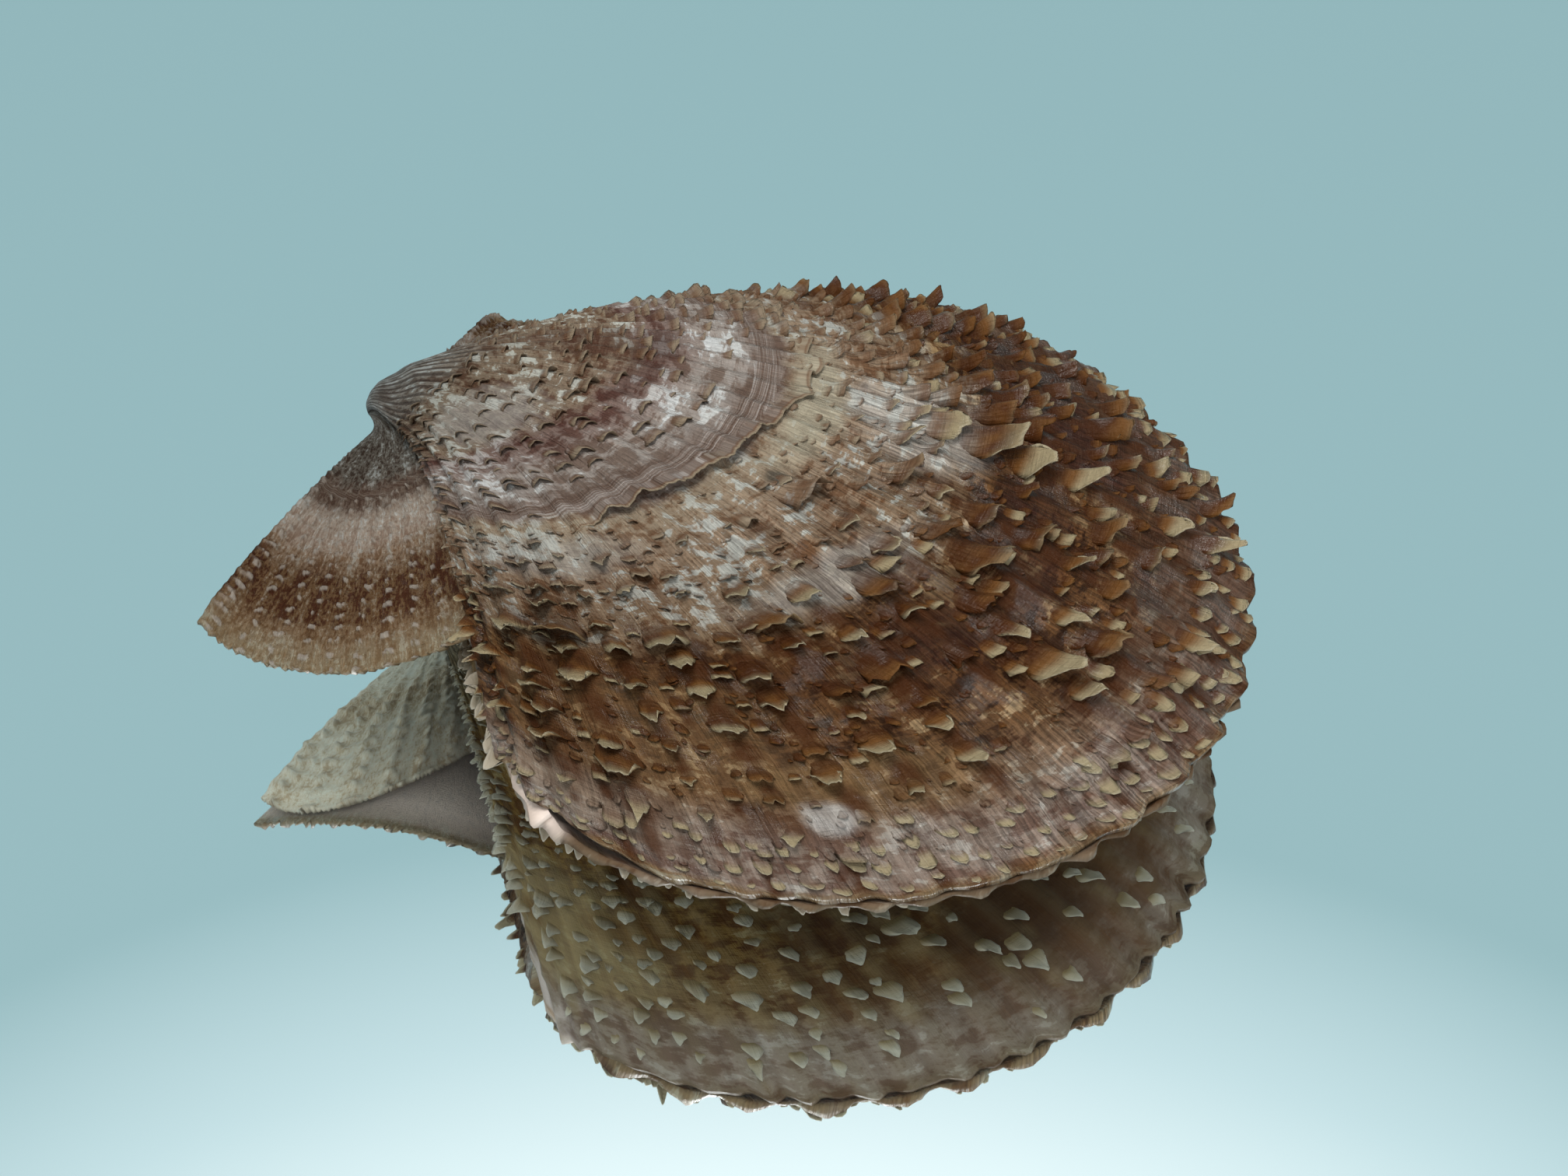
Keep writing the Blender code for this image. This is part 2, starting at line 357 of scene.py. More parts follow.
@dataclass
class Ribs:
    """The radial ribs of a disc: their places, and the relief that they and the growth lines make."""

    count: int
    first: float
    spacing: float
    height: float
    riblets: int
    seed: int
    places: Array = field(init=False)
    weights: Array = field(init=False)

    def __post_init__(self) -> None:
        """Spreads the ribs, a little unevenly."""
        chance = np.random.default_rng(self.seed)
        even = self.first + self.spacing * np.arange(self.count)
        self.places = even + self.spacing * chance.uniform(-0.09, 0.09, self.count)
        self.weights = chance.uniform(0.75, 1.15, self.count)

    def phase(self, growth: Array, across: Array) -> tuple[Array, Array]:
        """Which rib each place is on.

        Args:
            growth: growth of each place.
            across: place along the margin.

        Returns:
            The nearest rib's number, and the distance from its crest in rib spacings.
        """
        wander = across + 0.10 * self.spacing * ripple(self.seed + 1, across * 9.0, growth * 2.0)
        number = np.interp(wander, self.places, np.arange(self.count), left=-1.0, right=self.count)
        nearest = np.clip(np.round(number), 0, self.count - 1).astype(int)
        gap = (wander - self.places[nearest]) / self.spacing
        return nearest, gap

    def crest(self, growth: Array, across: Array) -> Array:
        """1 on a rib's crest, falling to 0 between ribs and on the plain flanks."""
        _, gap = self.phase(growth, across)
        return np.cos(math.pi * np.clip(gap, -0.5, 0.5)) ** 2

    def riblet(self, growth: Array, across: Array) -> Array:
        """Profile of the fine riblets that run over and between the ribs.

        Args:
            growth: growth of each place.
            across: place along the margin.

        Returns:
            -1 to 1, and 0 where there are none.
        """
        _, gap = self.phase(growth, across)
        uneven = 0.35 * ripple(self.seed + 2, across * 30.0, growth * 3.0)
        return np.cos(2 * math.pi * self.riblets * gap + uneven) * (np.abs(gap) < 1.2)

    def relief(self, growth: Array, across: Array) -> Array:
        """Height of ribs, riblets and growth lines above the smooth disc.

        Args:
            growth: growth of each place.
            across: place along the margin.

        Returns:
            Heights in metres.
        """
        nearest, _ = self.phase(growth, across)
        size = smooth(growth, 0.03, 0.25) * (0.22 + 0.78 * growth)
        rise = self.height * size * self.weights[nearest] * self.crest(growth, across)
        broken = 0.65 + 0.35 * ripple(self.seed + 6, across * 70.0, growth * 16.0)
        rise = rise + 0.11 * self.height * size * broken * self.riblet(growth, across)
        rise = rise + 0.075 * MM * size * ripple(self.seed + 7, across * 170.0, growth * 60.0, waves=9)
        bent = growth * 45.0 + 0.5 * ripple(self.seed + 4, across * 12.0)
        lines = ripple(self.seed + 3, bent, across * 3.0)
        return rise + 0.03 * MM * size * lines


@dataclass
class PlateSet:
    """Thin plates of shell that share one grid, gathered into one mesh."""

    rows: int
    columns: int
    tops: list[Array] = field(default_factory=list)
    bottoms: list[Array] = field(default_factory=list)
    facts: list[dict[str, Array]] = field(default_factory=list)

    def add(self, tops: Array, bottoms: Array, **facts: Array | float) -> None:
        """Adds plates.

        Args:
            tops: their upper corners, as plates, rows, columns and 3.
            bottoms: their lower corners, in the same way.
            facts: one number a corner for each attribute, or one for them all.
        """
        self.tops.append(tops)
        self.bottoms.append(bottoms)
        self.facts.append({name: np.broadcast_to(value, tops.shape[:3]) for name, value in facts.items()})

    def faces(self, plates: int) -> Array:
        """Corner numbers of the four-sided faces that close every plate, turned outwards.

        Args:
            plates: how many plates there are.

        Returns:
            An array with a last axis of 4.
        """
        grid = np.arange(self.rows * self.columns).reshape(self.rows, self.columns)
        top = np.stack([grid[:-1, :-1], grid[:-1, 1:], grid[1:, 1:], grid[1:, :-1]], axis=-1).reshape(-1, 4)
        rim = np.concatenate([grid[0, :], grid[1:, -1], grid[-1, -2::-1], grid[-2:0:-1, 0]])
        beyond = np.roll(rim, -1)
        under = self.rows * self.columns
        side = np.stack([beyond, rim, rim + under, beyond + under], axis=-1)
        one = np.concatenate([top[:, ::-1], top + under, side[:, ::-1]])
        return (one[None] + (2 * under * np.arange(plates))[:, None, None]).reshape(-1, 4)

    def build(self, name: str) -> bpy.types.Object:
        """Makes the mesh object, with every fact as a point attribute.

        Args:
            name: the piece's name.

        Returns:
            The object, linked to the scene.
        """
        tops, bottoms = np.concatenate(self.tops), np.concatenate(self.bottoms)
        points = np.stack([tops, bottoms], axis=1).reshape(-1, 3)
        facts = {
            fact: np.repeat(np.concatenate([one[fact] for one in self.facts])[:, None], 2, axis=1).reshape(-1)
            for fact in self.facts[0]
        }
        return make_object(name, points, self.faces(len(tops)).tolist(), facts)


def make_object(
    name: str, points: Array, faces: list[list[int]], facts: dict[str, Array]
) -> bpy.types.Object:
    """Makes a smooth mesh object that stands on the floor.

    Args:
        name: the piece's name.
        points: its corners, in metres.
        faces: corner numbers of each face.
        facts: one number a corner for each attribute.

    Returns:
        The object, linked to the scene.
    """
    points = points.copy()
    points[:, 2] = np.maximum(points[:, 2], 0.0)
    mesh = bpy.data.meshes.new(name)
    mesh.from_pydata(points.tolist(), [], faces)
    for fact, values in facts.items():
        numbers = np.ascontiguousarray(values, dtype=np.float32)
        mesh.attributes.new(fact, "FLOAT", "POINT").data.foreach_set("value", numbers)
    mesh.shade_smooth()
    piece = bpy.data.objects.new(name, mesh)
    bpy.context.scene.collection.objects.link(piece)
    return piece


@dataclass(frozen=True)
class ScaleStyle:
    """How a kind of scale is shaped, in metres where it is a length.

    arch and ridge bend it across, taper and narrow set its width from foot to tip, point and corner
    its outline, curl how late it rises, free how far its tip is flat, lean how far it leans aside,
    wave how ragged its lip is, and brightest how far its tip takes the lip's colour.
    """

    length: float
    width: float
    height: float
    rows: int = 11
    columns: int = 13
    arch: float = 0.75
    ridge: float = 2.2
    taper: float = 0.80
    narrow: float = 0.0
    point: float = 0.20
    corner: float = 2.0
    curl: float = 0.45
    free: float = 0.0
    lean: float = 0.0
    wave: float = 0.06
    brightest: float = 1.0
    thick: float = 0.22 * MM


@dataclass(frozen=True)
class Row:
    """How scales stand along a rib: from one growth to another, a step apart, each one slipped a little.

    sizes holds the least and the greatest share of size that chance gives them.
    """

    first: float
    last: float
    step: float
    slip: float
    sizes: tuple[float, float]


@dataclass
class Valve:
    """One valve: its relief, its two-sided shell, and the scales on it.

    The columns and rows are those of the outside's grid. ledges holds the growth and height, in
    millimetres, of each step left where growth stopped for a time, and tooth is how far the ribs' ends
    stand out at the margin. pockets gathers the places where scales shelter the shell, which the
    finish darkens there as painted shade with dark stain.
    """

    surface: GrowthSurface
    ribs: Ribs
    seed: int
    name: str = "valve"
    node: str = "valve"
    slot_name: str = "slot"
    disc_columns: int = 400
    ear_columns: int = 112
    posterior_columns: int = 36
    rows: int = 160
    lining_rows: int = 11
    ledges: tuple[tuple[float, float], ...] = ()
    ledge_wander: float = 0.006
    ledge_cycles: float = 7.0
    ledge_seed: int = 0
    tooth: float = 0.005
    chance: np.random.Generator = field(init=False)
    pockets: list[tuple[float, float, float, float]] = field(default_factory=list, init=False)

    LEDGE_REACH: ClassVar[float] = 0.02
    RIM_LINING: ClassVar[float] = 0.55
    SIZE_SPREAD: ClassVar[tuple[float, float]] = (0.8, 1.2)
    HEIGHT_SPREAD: ClassVar[tuple[float, float]] = (0.65, 1.25)
    POINT_SPREAD: ClassVar[tuple[float, float]] = (-0.12, 0.12)
    LEAN_SPREAD: ClassVar[tuple[float, float]] = (-0.45, 0.45)

    def __post_init__(self) -> None:
        """Sets up the source of chance for the scales."""
        self.chance = np.random.default_rng(self.seed)

    def pocket_shade(self, growth: Array, across: Array) -> Array:
        """How deep each place lies in the hollow before a scale's free edge, for its painted shade and stain.

        Args:
            growth: growth of each place, the same along every row.
            across: place along the margin, the same down every column.

        Returns:
            0 in the open to 1 right before a large scale.
        """
        shade = np.zeros(growth.shape)
        rows, columns = growth[:, 0], across[0]
        for tip, place, long, wide in self.pockets:
            low, high = np.searchsorted(rows, (tip - 1.2 * long, tip + 1.8 * long))
            left, right = np.searchsorted(columns, (place - 2.0 * wide, place + 2.0 * wide))
            along = (rows[low:high, None] - tip - 0.25 * long) / (0.65 * long)
            over = (columns[None, left:right] - place) / wide
            here = np.exp(-(along**2) - over**2) * min(1.0, long / 0.032) ** 2
            shade[low:high, left:right] = np.maximum(shade[low:high, left:right], here)
        return shade

    def ear_relief(self, growth: Array, across: Array) -> tuple[Array, Array]:
        """Relief of the ears, and where their nodules are."""
        raise NotImplementedError

    def growth_steps(self, growth: Array, across: Array) -> Array:
        """Height of the steps left where growth stopped for a time.

        Args:
            growth: growth of each place.
            across: place along the margin.

        Returns:
            Heights in metres.
        """
        rise = 0.0 * growth
        for place, height in self.ledges:
            seed = int(place * 100) + self.ledge_seed
            wander = self.ledge_wander * ripple(seed, across * self.ledge_cycles)
            rise = rise + growth_stop(place + wander - growth, self.LEDGE_REACH) * height * MM
        return rise

    def lining_share(self, growth: Array, across: Array) -> Array:
        """How much of the inside is plain lining: all of it but for the last of the margin."""
        return (1.0 - smooth(growth, 0.93, 0.98)) * np.ones_like(across)

    def edge_growth(self, growth: Array, across: Array) -> Array:
        """Growth after the margin's teeth and frays are let out."""
        raise NotImplementedError

    def teeth(self, growth: Array, across: Array) -> Array:
        """How far the ribs' ends stand out at the margin, as a share of growth."""
        return self.tooth * self.ribs.crest(growth, across) * smooth(growth, 0.90, 1.0)

    def relief(self, growth: Array, across: Array) -> tuple[Array, Array]:
        """Height above the smooth outside, and the crest fact.

        Args:
            growth: growth of each place.
            across: place along the margin.

        Returns:
            Heights in metres, and 0 to 1 for how much of a crest or nodule the place is.
        """
        inside = smooth(across, 0.0, 0.03) * (1.0 - smooth(across, 0.97, 1.0))
        disc = (across > 0) & (across < 1)
        ear_rise, ear_crest = self.ear_relief(growth, across)
        disc_rise = inside * (self.ribs.relief(growth, across) + self.growth_steps(growth, across))
        rise = np.where(disc, disc_rise, ear_rise)
        crest = np.where(disc, inside * self.ribs.crest(growth, across), ear_crest)
        return rise * smooth(growth, 0.015, 0.10), crest

    def outside(self, growth: Array, across: Array) -> tuple[Array, Array, Array]:
        """The real outside, with its relief.

        Args:
            growth: growth of each place.
            across: place along the margin.

        Returns:
            Points, unit directions out of the smooth surface, and crest facts.
        """
        grown = self.edge_growth(growth, across)
        rise, crest = self.relief(grown, across)
        normal = self.surface.normal(grown, across)
        return self.surface.place(grown, across) + normal * rise[..., None], normal, crest

    def build_shell(self) -> bpy.types.Object:
        """Builds the valve itself: outside, lining and the rim that joins them, as one closed mesh.

        Returns:
            The shell, in the scene.
        """
        across = np.concatenate([
            np.linspace(-1.0, 0.0, self.ear_columns, endpoint=False),
            np.linspace(0.0, 1.0, self.disc_columns, endpoint=False),
            np.linspace(1.0, 2.0, self.posterior_columns),
        ])
        rows = np.linspace(0.0, 1.0, self.rows) ** 0.9
        outer_growth, outer_across = np.meshgrid(rows, across, indexing="ij")
        steps = np.append(np.linspace(0.0, 0.96, self.lining_rows), (0.985, 0.995, 1.0))
        lining_growth, lining_across = np.meshgrid(steps, across, indexing="ij")
        outside, _, crest = self.outside(outer_growth, outer_across)
        grown = self.edge_growth(lining_growth, lining_across)
        inside = self.surface.place(grown, lining_across, lining=True)

        outer = np.arange(outer_growth.size).reshape(outer_growth.shape)
        inner = outer.size + np.arange(lining_growth.size).reshape(lining_growth.shape)
        faces = self._quads(outer) + self._quads(inner) + self._quads(np.stack([inner[-1], outer[-1]]))
        picks = np.searchsorted(rows, steps)
        for column in (0, -1):
            for step in range(len(steps) - 1):
                chain = outer[picks[step]:picks[step + 1] + 1, column].tolist()
                faces += self._fan(chain, int(inner[step, column]), int(inner[step + 1, column]))

        rim = self.lining_share(np.ones_like(outer_growth), outer_across) * self.RIM_LINING
        rim = rim * smooth(outer_growth, 0.988, 0.997)
        plain_outer, plain_inner = np.zeros(outer.shape), np.zeros(inner.shape)
        sides = {
            "growth": (outer_growth, lining_growth),
            "across": (outer_across, lining_across),
            "crest": (crest, plain_inner),
            "lining": (rim, self.lining_share(lining_growth, lining_across)),
            "tip": (plain_outer, plain_inner),
            "shade": (plain_outer + 0.5, plain_inner + 0.5),
            "pocket": (self.pocket_shade(outer_growth, outer_across), plain_inner),
        }
        facts = {fact: np.concatenate([side.reshape(-1) for side in pair]) for fact, pair in sides.items()}
        points = np.concatenate([outside.reshape(-1, 3), inside.reshape(-1, 3)])
        shell = make_object(self.name, points, faces, facts)
        self._close_beak(shell, list(outer[0]) + list(inner[0]))
        return shell

    @staticmethod
    def _quads(grid: Array) -> list[list[int]]:
        """Four-sided faces of a grid of corner numbers."""
        corners = [grid[:-1, :-1], grid[:-1, 1:], grid[1:, 1:], grid[1:, :-1]]
        return np.stack(corners, axis=-1).reshape(-1, 4).tolist()

    @staticmethod
    def _fan(chain: list[int], start: int, end: int) -> list[list[int]]:
        """Triangles between a chain of outer corners and one edge of the lining.

        Args:
            chain: the outer corners, in order.
            start: the lining corner next to the chain's start.
            end: the one next to its end.

        Returns:
            Corner numbers of each triangle.
        """
        middle = len(chain) // 2
        low = [[chain[i], chain[i + 1], start] for i in range(middle)]
        high = [[chain[i], chain[i + 1], end] for i in range(middle, len(chain) - 1)]
        return low + [[chain[middle], end, start]] + high

    @staticmethod
    def _close_beak(shell: bpy.types.Object, first_rows: Sequence[int]) -> None:
        """Welds the coincident corners at the umbo and drops faces that this leaves empty.

        Args:
            shell: the valve's mesh object.
            first_rows: numbers of the corners at growth 0.
        """
        solid = bmesh.new()
        solid.from_mesh(shell.data)
        solid.verts.ensure_lookup_table()
        bmesh.ops.remove_doubles(solid, verts=[solid.verts[index] for index in first_rows], dist=0.02 * MM)
        bmesh.ops.recalc_face_normals(solid, faces=solid.faces[:])
        solid.to_mesh(shell.data)
        solid.free()

    def add_scales(
        self, plates: PlateSet, style: ScaleStyle, growth: Array, across: Array | float, size: Array,
        kept: Array | None = None,
    ) -> None:
        """Adds scales to a set of plates.

        Args:
            plates: the set, whose grid is the style's.
            style: the shape of this kind of scale.
            growth: growth of each scale's tip.
            across: place of each scale along the margin, or of them all.
            size: each scale's size, where 1 is the style's own.
            kept: which of them are there; all of them if None.
        """
        kept = np.full(len(growth), True) if kept is None else kept
        if not kept.any():
            return
        growth, across, size = growth[kept], np.broadcast_to(across, kept.shape)[kept], size[kept]
        column = (slice(None), None, None)
        # Each scale's size, and the hollow that it leaves before it, which the finish darkens as painted
        # shade with dark stain.
        a = np.linspace(0.0, 1.0, style.rows)[None, :, None]
        b = np.linspace(-1.0, 1.0, style.columns)[None, None, :]
        length = (style.length * size)[column] * self.vary(size, *self.SIZE_SPREAD) / SHELL_HEIGHT
        per_across = self.margin_stretch(across) * np.maximum(growth, 0.05)
        width = (style.width * size)[column] * self.vary(size, *self.SIZE_SPREAD) / per_across[column]
        shapes = (growth, across, length[:, 0, 0], 0.5 * width[:, 0, 0])
        self.pockets += zip(*(numbers.tolist() for numbers in shapes))
        height = (style.height * size)[column] * self.vary(size, *self.HEIGHT_SPREAD)

        # Its outline on the valve, with a lobed and ragged lip.
        phase = self.vary(size, 0.0, 6.3)
        lobes = self.chance.choice((0.5, 0.5, 1.0, 1.5), len(growth))[column]
        valley = 1.0 - 2.0 * np.abs((b * lobes + 0.12 * np.sin(phase)) % 1.0 - 0.5)
        teeth = 0.8 * np.sin(6.1 * b + 2.0 * phase) + 0.4 * np.sin(13.0 * b + phase)
        ragged = style.wave * (teeth + valley**2 - 1.0)
        point = style.point + self.vary(size, *self.POINT_SPREAD)
        reach = a * (1.0 + a * (a * ragged - point * np.abs(b) ** style.corner))
        spread = (style.taper + (1 - style.taper) * a**0.7) * (1.0 - style.narrow * a**3)
        at_growth = growth[column] - length * (1.0 - reach)
        aside = style.lean + self.vary(size, *self.LEAN_SPREAD)
        at_across = across[column] + width * 0.5 * (b * spread + aside * a * a)

        # How far it stands up: less where it would touch the floor or top the highest point.
        rise = (1 - style.curl) * a + style.curl * a**2.6
        loose = style.free * smooth(a, 0.30, 0.95)
        roof = loose + (1.0 - loose) * (1.0 - 0.98 * np.abs(b) ** style.ridge) ** style.arch
        lift = height * rise * (roof + 0.08 * np.sin(4.4 * b + 3.0 * phase) * a * a)
        ground, normal, _ = self.outside(np.clip(at_growth, 0.02, 1.0), np.clip(at_across, 0.02, 0.98))
        beyond = np.maximum(at_growth - 1.0, 0.0)
        ground = ground + beyond[..., None] * self.outward(across)[:, None, None, :] * SHELL_HEIGHT
        steep = np.maximum(np.abs(normal[..., 2]), 0.05)
        room = np.where(normal[..., 2] < 0, ground[..., 2], HIGHEST - ground[..., 2]) / steep
        lift = np.minimum(lift, np.maximum(room, 0.1 * MM))

        # Its two faces; the foot is sunk in the shell.
        sink = 0.12 * MM * (1.0 - a) ** 2 + 0.05 * MM * (1.0 - loose) * np.abs(b) ** 4
        top = ground + normal * (lift - sink)[..., None]
        thick = np.broadcast_to(style.thick * (1.0 - 0.5 * a) * (1.0 - 0.4 * np.abs(b) ** 3), lift.shape)
        middle = ground[:, :, style.columns // 2:style.columns // 2 + 1]
        bottom = top - normal * thick[..., None] + 0.10 * (middle - ground)
        flip = slice(None, None, -1 if self.surface.side is Side.RIGHT else 1)
        plates.add(
            top[:, :, flip], bottom[:, :, flip], growth=np.clip(at_growth, 0.0, 1.0)[:, :, flip],
            across=at_across[:, :, flip], crest=1 - np.abs(b), lining=0.0, tip=style.brightest * a,
            shade=self.vary(size, 0.0, 1.0), pocket=0.0,
        )

    def vary(self, like: Array, low: float, high: float) -> Array:
        """A random number between low and high for each scale, ready to spread over its grid."""
        return self.chance.uniform(low, high, len(like))[:, None, None]

    def sow(self, row: Row, bare: float, shift: float = 0.0) -> tuple[Array, Array, Array]:
        """Draws one row of scales.

        Args:
            row: how they stand.
            bare: the share of them that is missing.
            shift: how far the whole row is moved on.

        Returns:
            Each one's growth, whether it is there, and its share of size.
        """
        even = np.arange(row.first, row.last, row.step)
        growth = even + shift + self.chance.uniform(-row.slip, row.slip, len(even))
        there = self.chance.uniform(size=len(even)) > bare
        return growth, there, self.chance.uniform(*row.sizes, len(even))

    def margin_stretch(self, across: Array) -> Array:
        """Measures the margin's length for each unit of across.

        Args:
            across: places along the margin.

        Returns:
            Lengths in metres.
        """
        step = 0.01
        ahead = self.surface.margin(np.clip(across + step, 0, 1))
        back = self.surface.margin(np.clip(across - step, 0, 1))
        return np.linalg.norm(ahead - back, axis=-1) * SHELL_HEIGHT / (2 * step)

    def outward(self, across: Array) -> Array:
        """Finds the way straight out over the margin.

        Args:
            across: places along the margin.

        Returns:
            Unit directions.
        """
        margin, before = np.full_like(across, 1.0), np.full_like(across, 0.97)
        step = self.surface.place(margin, across) - self.surface.place(before, across)
        return step / np.linalg.norm(step, axis=-1, keepdims=True)


@dataclass
class UpperValve(Valve):
    """The left valve: mottled, strongly ribbed, with large curled scales past a lip of stopped growth.

    hooded, draped and tongue are the large scales of its front, middle and back, and large_rows how
    each of them stands. hood and between are small vaulted ones, nub and fringe the smallest.
    riblet_places gives where nubs stand between two ribs, and lip_span where the lip runs. The frays
    and chip are how far the margin is worn back, as shares of growth, and regions is where its middle
    starts and ends.
    """

    name: str = "upper_valve"
    node: str = "left_valve"
    slot_name: str = "mottled_valve"
    ledges: tuple[tuple[float, float], ...] = (
        (0.155, 0.10), (0.372, 0.18), (0.655, 0.15), (0.875, 0.22), (0.955, 0.20),
    )
    hooded: ScaleStyle = ScaleStyle(
        length=4.1 * MM, width=3.1 * MM, height=2.8 * MM, point=0.40, corner=1.5, arch=0.8, ridge=1.8,
        narrow=0.30, curl=0.45, wave=0.05, free=0.28, lean=-0.40,
    )
    draped: ScaleStyle = ScaleStyle(
        length=3.6 * MM, width=3.1 * MM, height=2.3 * MM, point=0.22, arch=0.8, ridge=1.8, wave=0.08,
        free=0.25, curl=0.60, brightest=0.56,
    )
    tongue: ScaleStyle = ScaleStyle(
        length=3.4 * MM, width=2.1 * MM, height=2.0 * MM, point=0.12, corner=4.0, taper=1.0, narrow=0.1,
        curl=0.20, free=0.45, wave=0.03, thick=0.45 * MM, brightest=0.58,
    )
    hood: ScaleStyle = ScaleStyle(
        length=1.95 * MM, width=2.0 * MM, height=0.85 * MM, rows=5, columns=7, arch=0.6, taper=0.85,
        point=0.15, wave=0.03, thick=0.16 * MM, brightest=0.85,
    )
    between: ScaleStyle = replace(hood, length=2.2 * MM, width=1.6 * MM, height=1.1 * MM, brightest=0.90)
    nub: ScaleStyle = ScaleStyle(
        length=1.2 * MM, width=0.75 * MM, height=0.45 * MM, rows=4, columns=5, arch=0.6, point=0.3,
        wave=0.02, thick=0.14 * MM, brightest=0.45,
    )
    fringe: ScaleStyle = replace(nub, length=1.9 * MM, width=1.35 * MM, height=0.5 * MM, brightest=1.0)
    large_rows: tuple[Row, ...] = tuple(
        Row(0.545, 0.985, step, 0.012, (0.55, 1.25)) for step in (0.043, 0.046, 0.035)
    )
    hood_row: Row = Row(0.14, 0.545, 0.0215, 0.008, (0.5, 1.3))
    between_row: Row = Row(0.53, 0.985, 0.031, 0.012, (0.6, 1.25))
    nub_row: Row = Row(0.50, 0.985, 0.019, 0.010, (0.5, 1.4))
    riblet_places: tuple[float, ...] = (0.25, 0.37, 0.63, 0.75)
    fringe_growths: tuple[float, float, float] = (0.955, 0.978, 0.997)
    lip_grid: tuple[int, int] = (8, 240)
    lip_span: tuple[float, float] = (0.245, 0.70)
    lip_height: float = 1.0 * MM
    blister_height: float = 0.9 * MM
    disc_fray: float = 0.004
    ear_fray: float = 0.010
    chip: float = 0.022
    regions: tuple[float, float] = (0.33, 0.60)

    def ear_relief(self, growth: Array, across: Array) -> tuple[Array, Array]:
        """Radial ribs crossed by growth lines, with nodules where they meet and spines on the hinge.

        Args:
            growth: growth of each place.
            across: place along the margin.

        Returns:
            Heights in metres, and 0 to 1 for how much of a nodule or spine the place is.
        """
        turn = np.where(across < 0, -across, across - 1.0)
        radial = np.cos(2 * math.pi * 9.5 * turn + 0.9 * ripple(3, turn * 4, growth * 3))
        fine = np.cos(2 * math.pi * 19.0 * turn)
        uneven = 1.6 * ripple(5, turn * 5, growth * 3)
        rings = np.cos(2 * math.pi * growth * 27.0 + uneven + 0.8 * ripple(6, turn * 17))
        beside_disc = smooth(turn, 0.03, 0.14)
        kept = smooth(ripple(8, turn * 21, growth * 17, waves=9), -0.55, 0.05)
        nodule = beside_disc * kept * smooth(radial, 0.1, 0.8) * smooth(rings, 0.1, 0.8)
        nodule = nodule * smooth(growth, 0.32, 0.55)
        spines = hump(turn, 0.97, 0.035) * smooth(ripple(9, growth * 24.0, waves=9), -0.1, 0.5)
        spines = spines * smooth(growth, 0.15, 0.3)
        size = smooth(growth, 0.1, 0.5) * (1.0 - 0.3 * smooth(growth, 0.9, 1.0))
        rise = (0.08 * radial + 0.03 * fine + 0.05 * rings) * beside_disc + 0.34 * nodule + 0.45 * spines
        return (rise + 0.1) * MM * size, np.clip(nodule + 0.5 * spines, 0.0, 1.0)

    def edge_growth(self, growth: Array, across: Array) -> Array:
        """Growth after the margin's teeth, frays and one chipped stretch are let out.

        Args:
            growth: growth of each place on a plain margin.
            across: place along the margin.

        Returns:
            Growth on the uneven margin.
        """
        disc = (across > 0) & (across < 1)
        uneven = ripple(self.seed + 9, across * 40.0, waves=9) * smooth(growth, 0.95, 1.0)
        chipped = self.chip * smooth(across, 0.075, 0.095) * (1.0 - smooth(across, 0.14, 0.18))
        chipped = chipped * smooth(growth, 0.92, 1.0)
        beside_ears = self.teeth(growth, across) - chipped + self.disc_fray * uneven
        return growth * (1.0 + np.where(disc, beside_ears, self.ear_fray * uneven))

    def lip_growth(self, across: Array) -> Array:
        """Growth of the lip's edge, along the margin."""
        even = 0.468 + 0.006 * ripple(21, across * 14.0)
        return even + 0.034 * smooth(across, 0.44, 0.62) + 0.03 * smooth(across, 0.30, 0.22)

    def lip_size(self, across: Array) -> Array:
        """How strong the lip is, 0 to 1, along the margin."""
        front = smooth(across, 0.25, 0.31) * (1.0 - 0.6 * smooth(across, 0.42, 0.50))
        return front * (1.0 - smooth(across, 0.62, 0.70))

    def growth_steps(self, growth: Array, across: Array) -> Array:
        """The lip's rise and sudden fall, fainter steps elsewhere, and a blister near the margin.

        Args:
            growth: growth of each place.
            across: place along the margin.

        Returns:
            Heights in metres.
        """
        lip = growth_stop(self.lip_growth(across) - growth, 0.045) * self.lip_height * self.lip_size(across)
        blister = self.blister_height * hump(growth, 0.915, 0.022) * hump(across, 0.272, 0.012)
        return super().growth_steps(growth, across) + lip + blister

    def build_large_scales(self) -> bpy.types.Object:
        """Builds the big curled scales on the ribs of the last growth.

        Returns:
            The piece, in the scene.
        """
        plates = PlateSet(self.hooded.rows, self.hooded.columns)
        for number, place in enumerate(self.ribs.places):
            region = sum(place > edge for edge in self.regions)
            row = self.large_rows[region]
            last, shrink = (0.965, 0.45) if place < 0.42 else (0.982, 0.25)
            growth, kept, share = self.sow(row, bare=0.14, shift=0.5 * row.step * (number % 2))
            kept = kept & (growth < last)
            size = (0.45 + 0.55 * smooth(growth, 0.54, 0.72)) * share
            size = size * (1.0 - shrink * smooth(growth, 0.88, 0.97)) * self.ribs.weights[number]
            size = size * (0.40 + 0.60 * float(smooth(place, 0.06, 0.16)))
            size = size * (1.0 - 0.28 * float(smooth(place, 0.58, 0.70)))
            wide = self.chance.uniform(size=len(growth)) < 0.55 * float(hump(place, 0.46, 0.16))
            picks = np.where(wide, 1, 2 if region == 2 else 0)
            for pick, style in enumerate((self.hooded, self.draped, self.tongue)):
                self.add_scales(plates, style, growth, place, size, kept & (picks == pick))
        self.add_scales(plates, self.draped, np.array([0.578]), 0.428, np.array([1.15]))
        return plates.build("upper_scales")

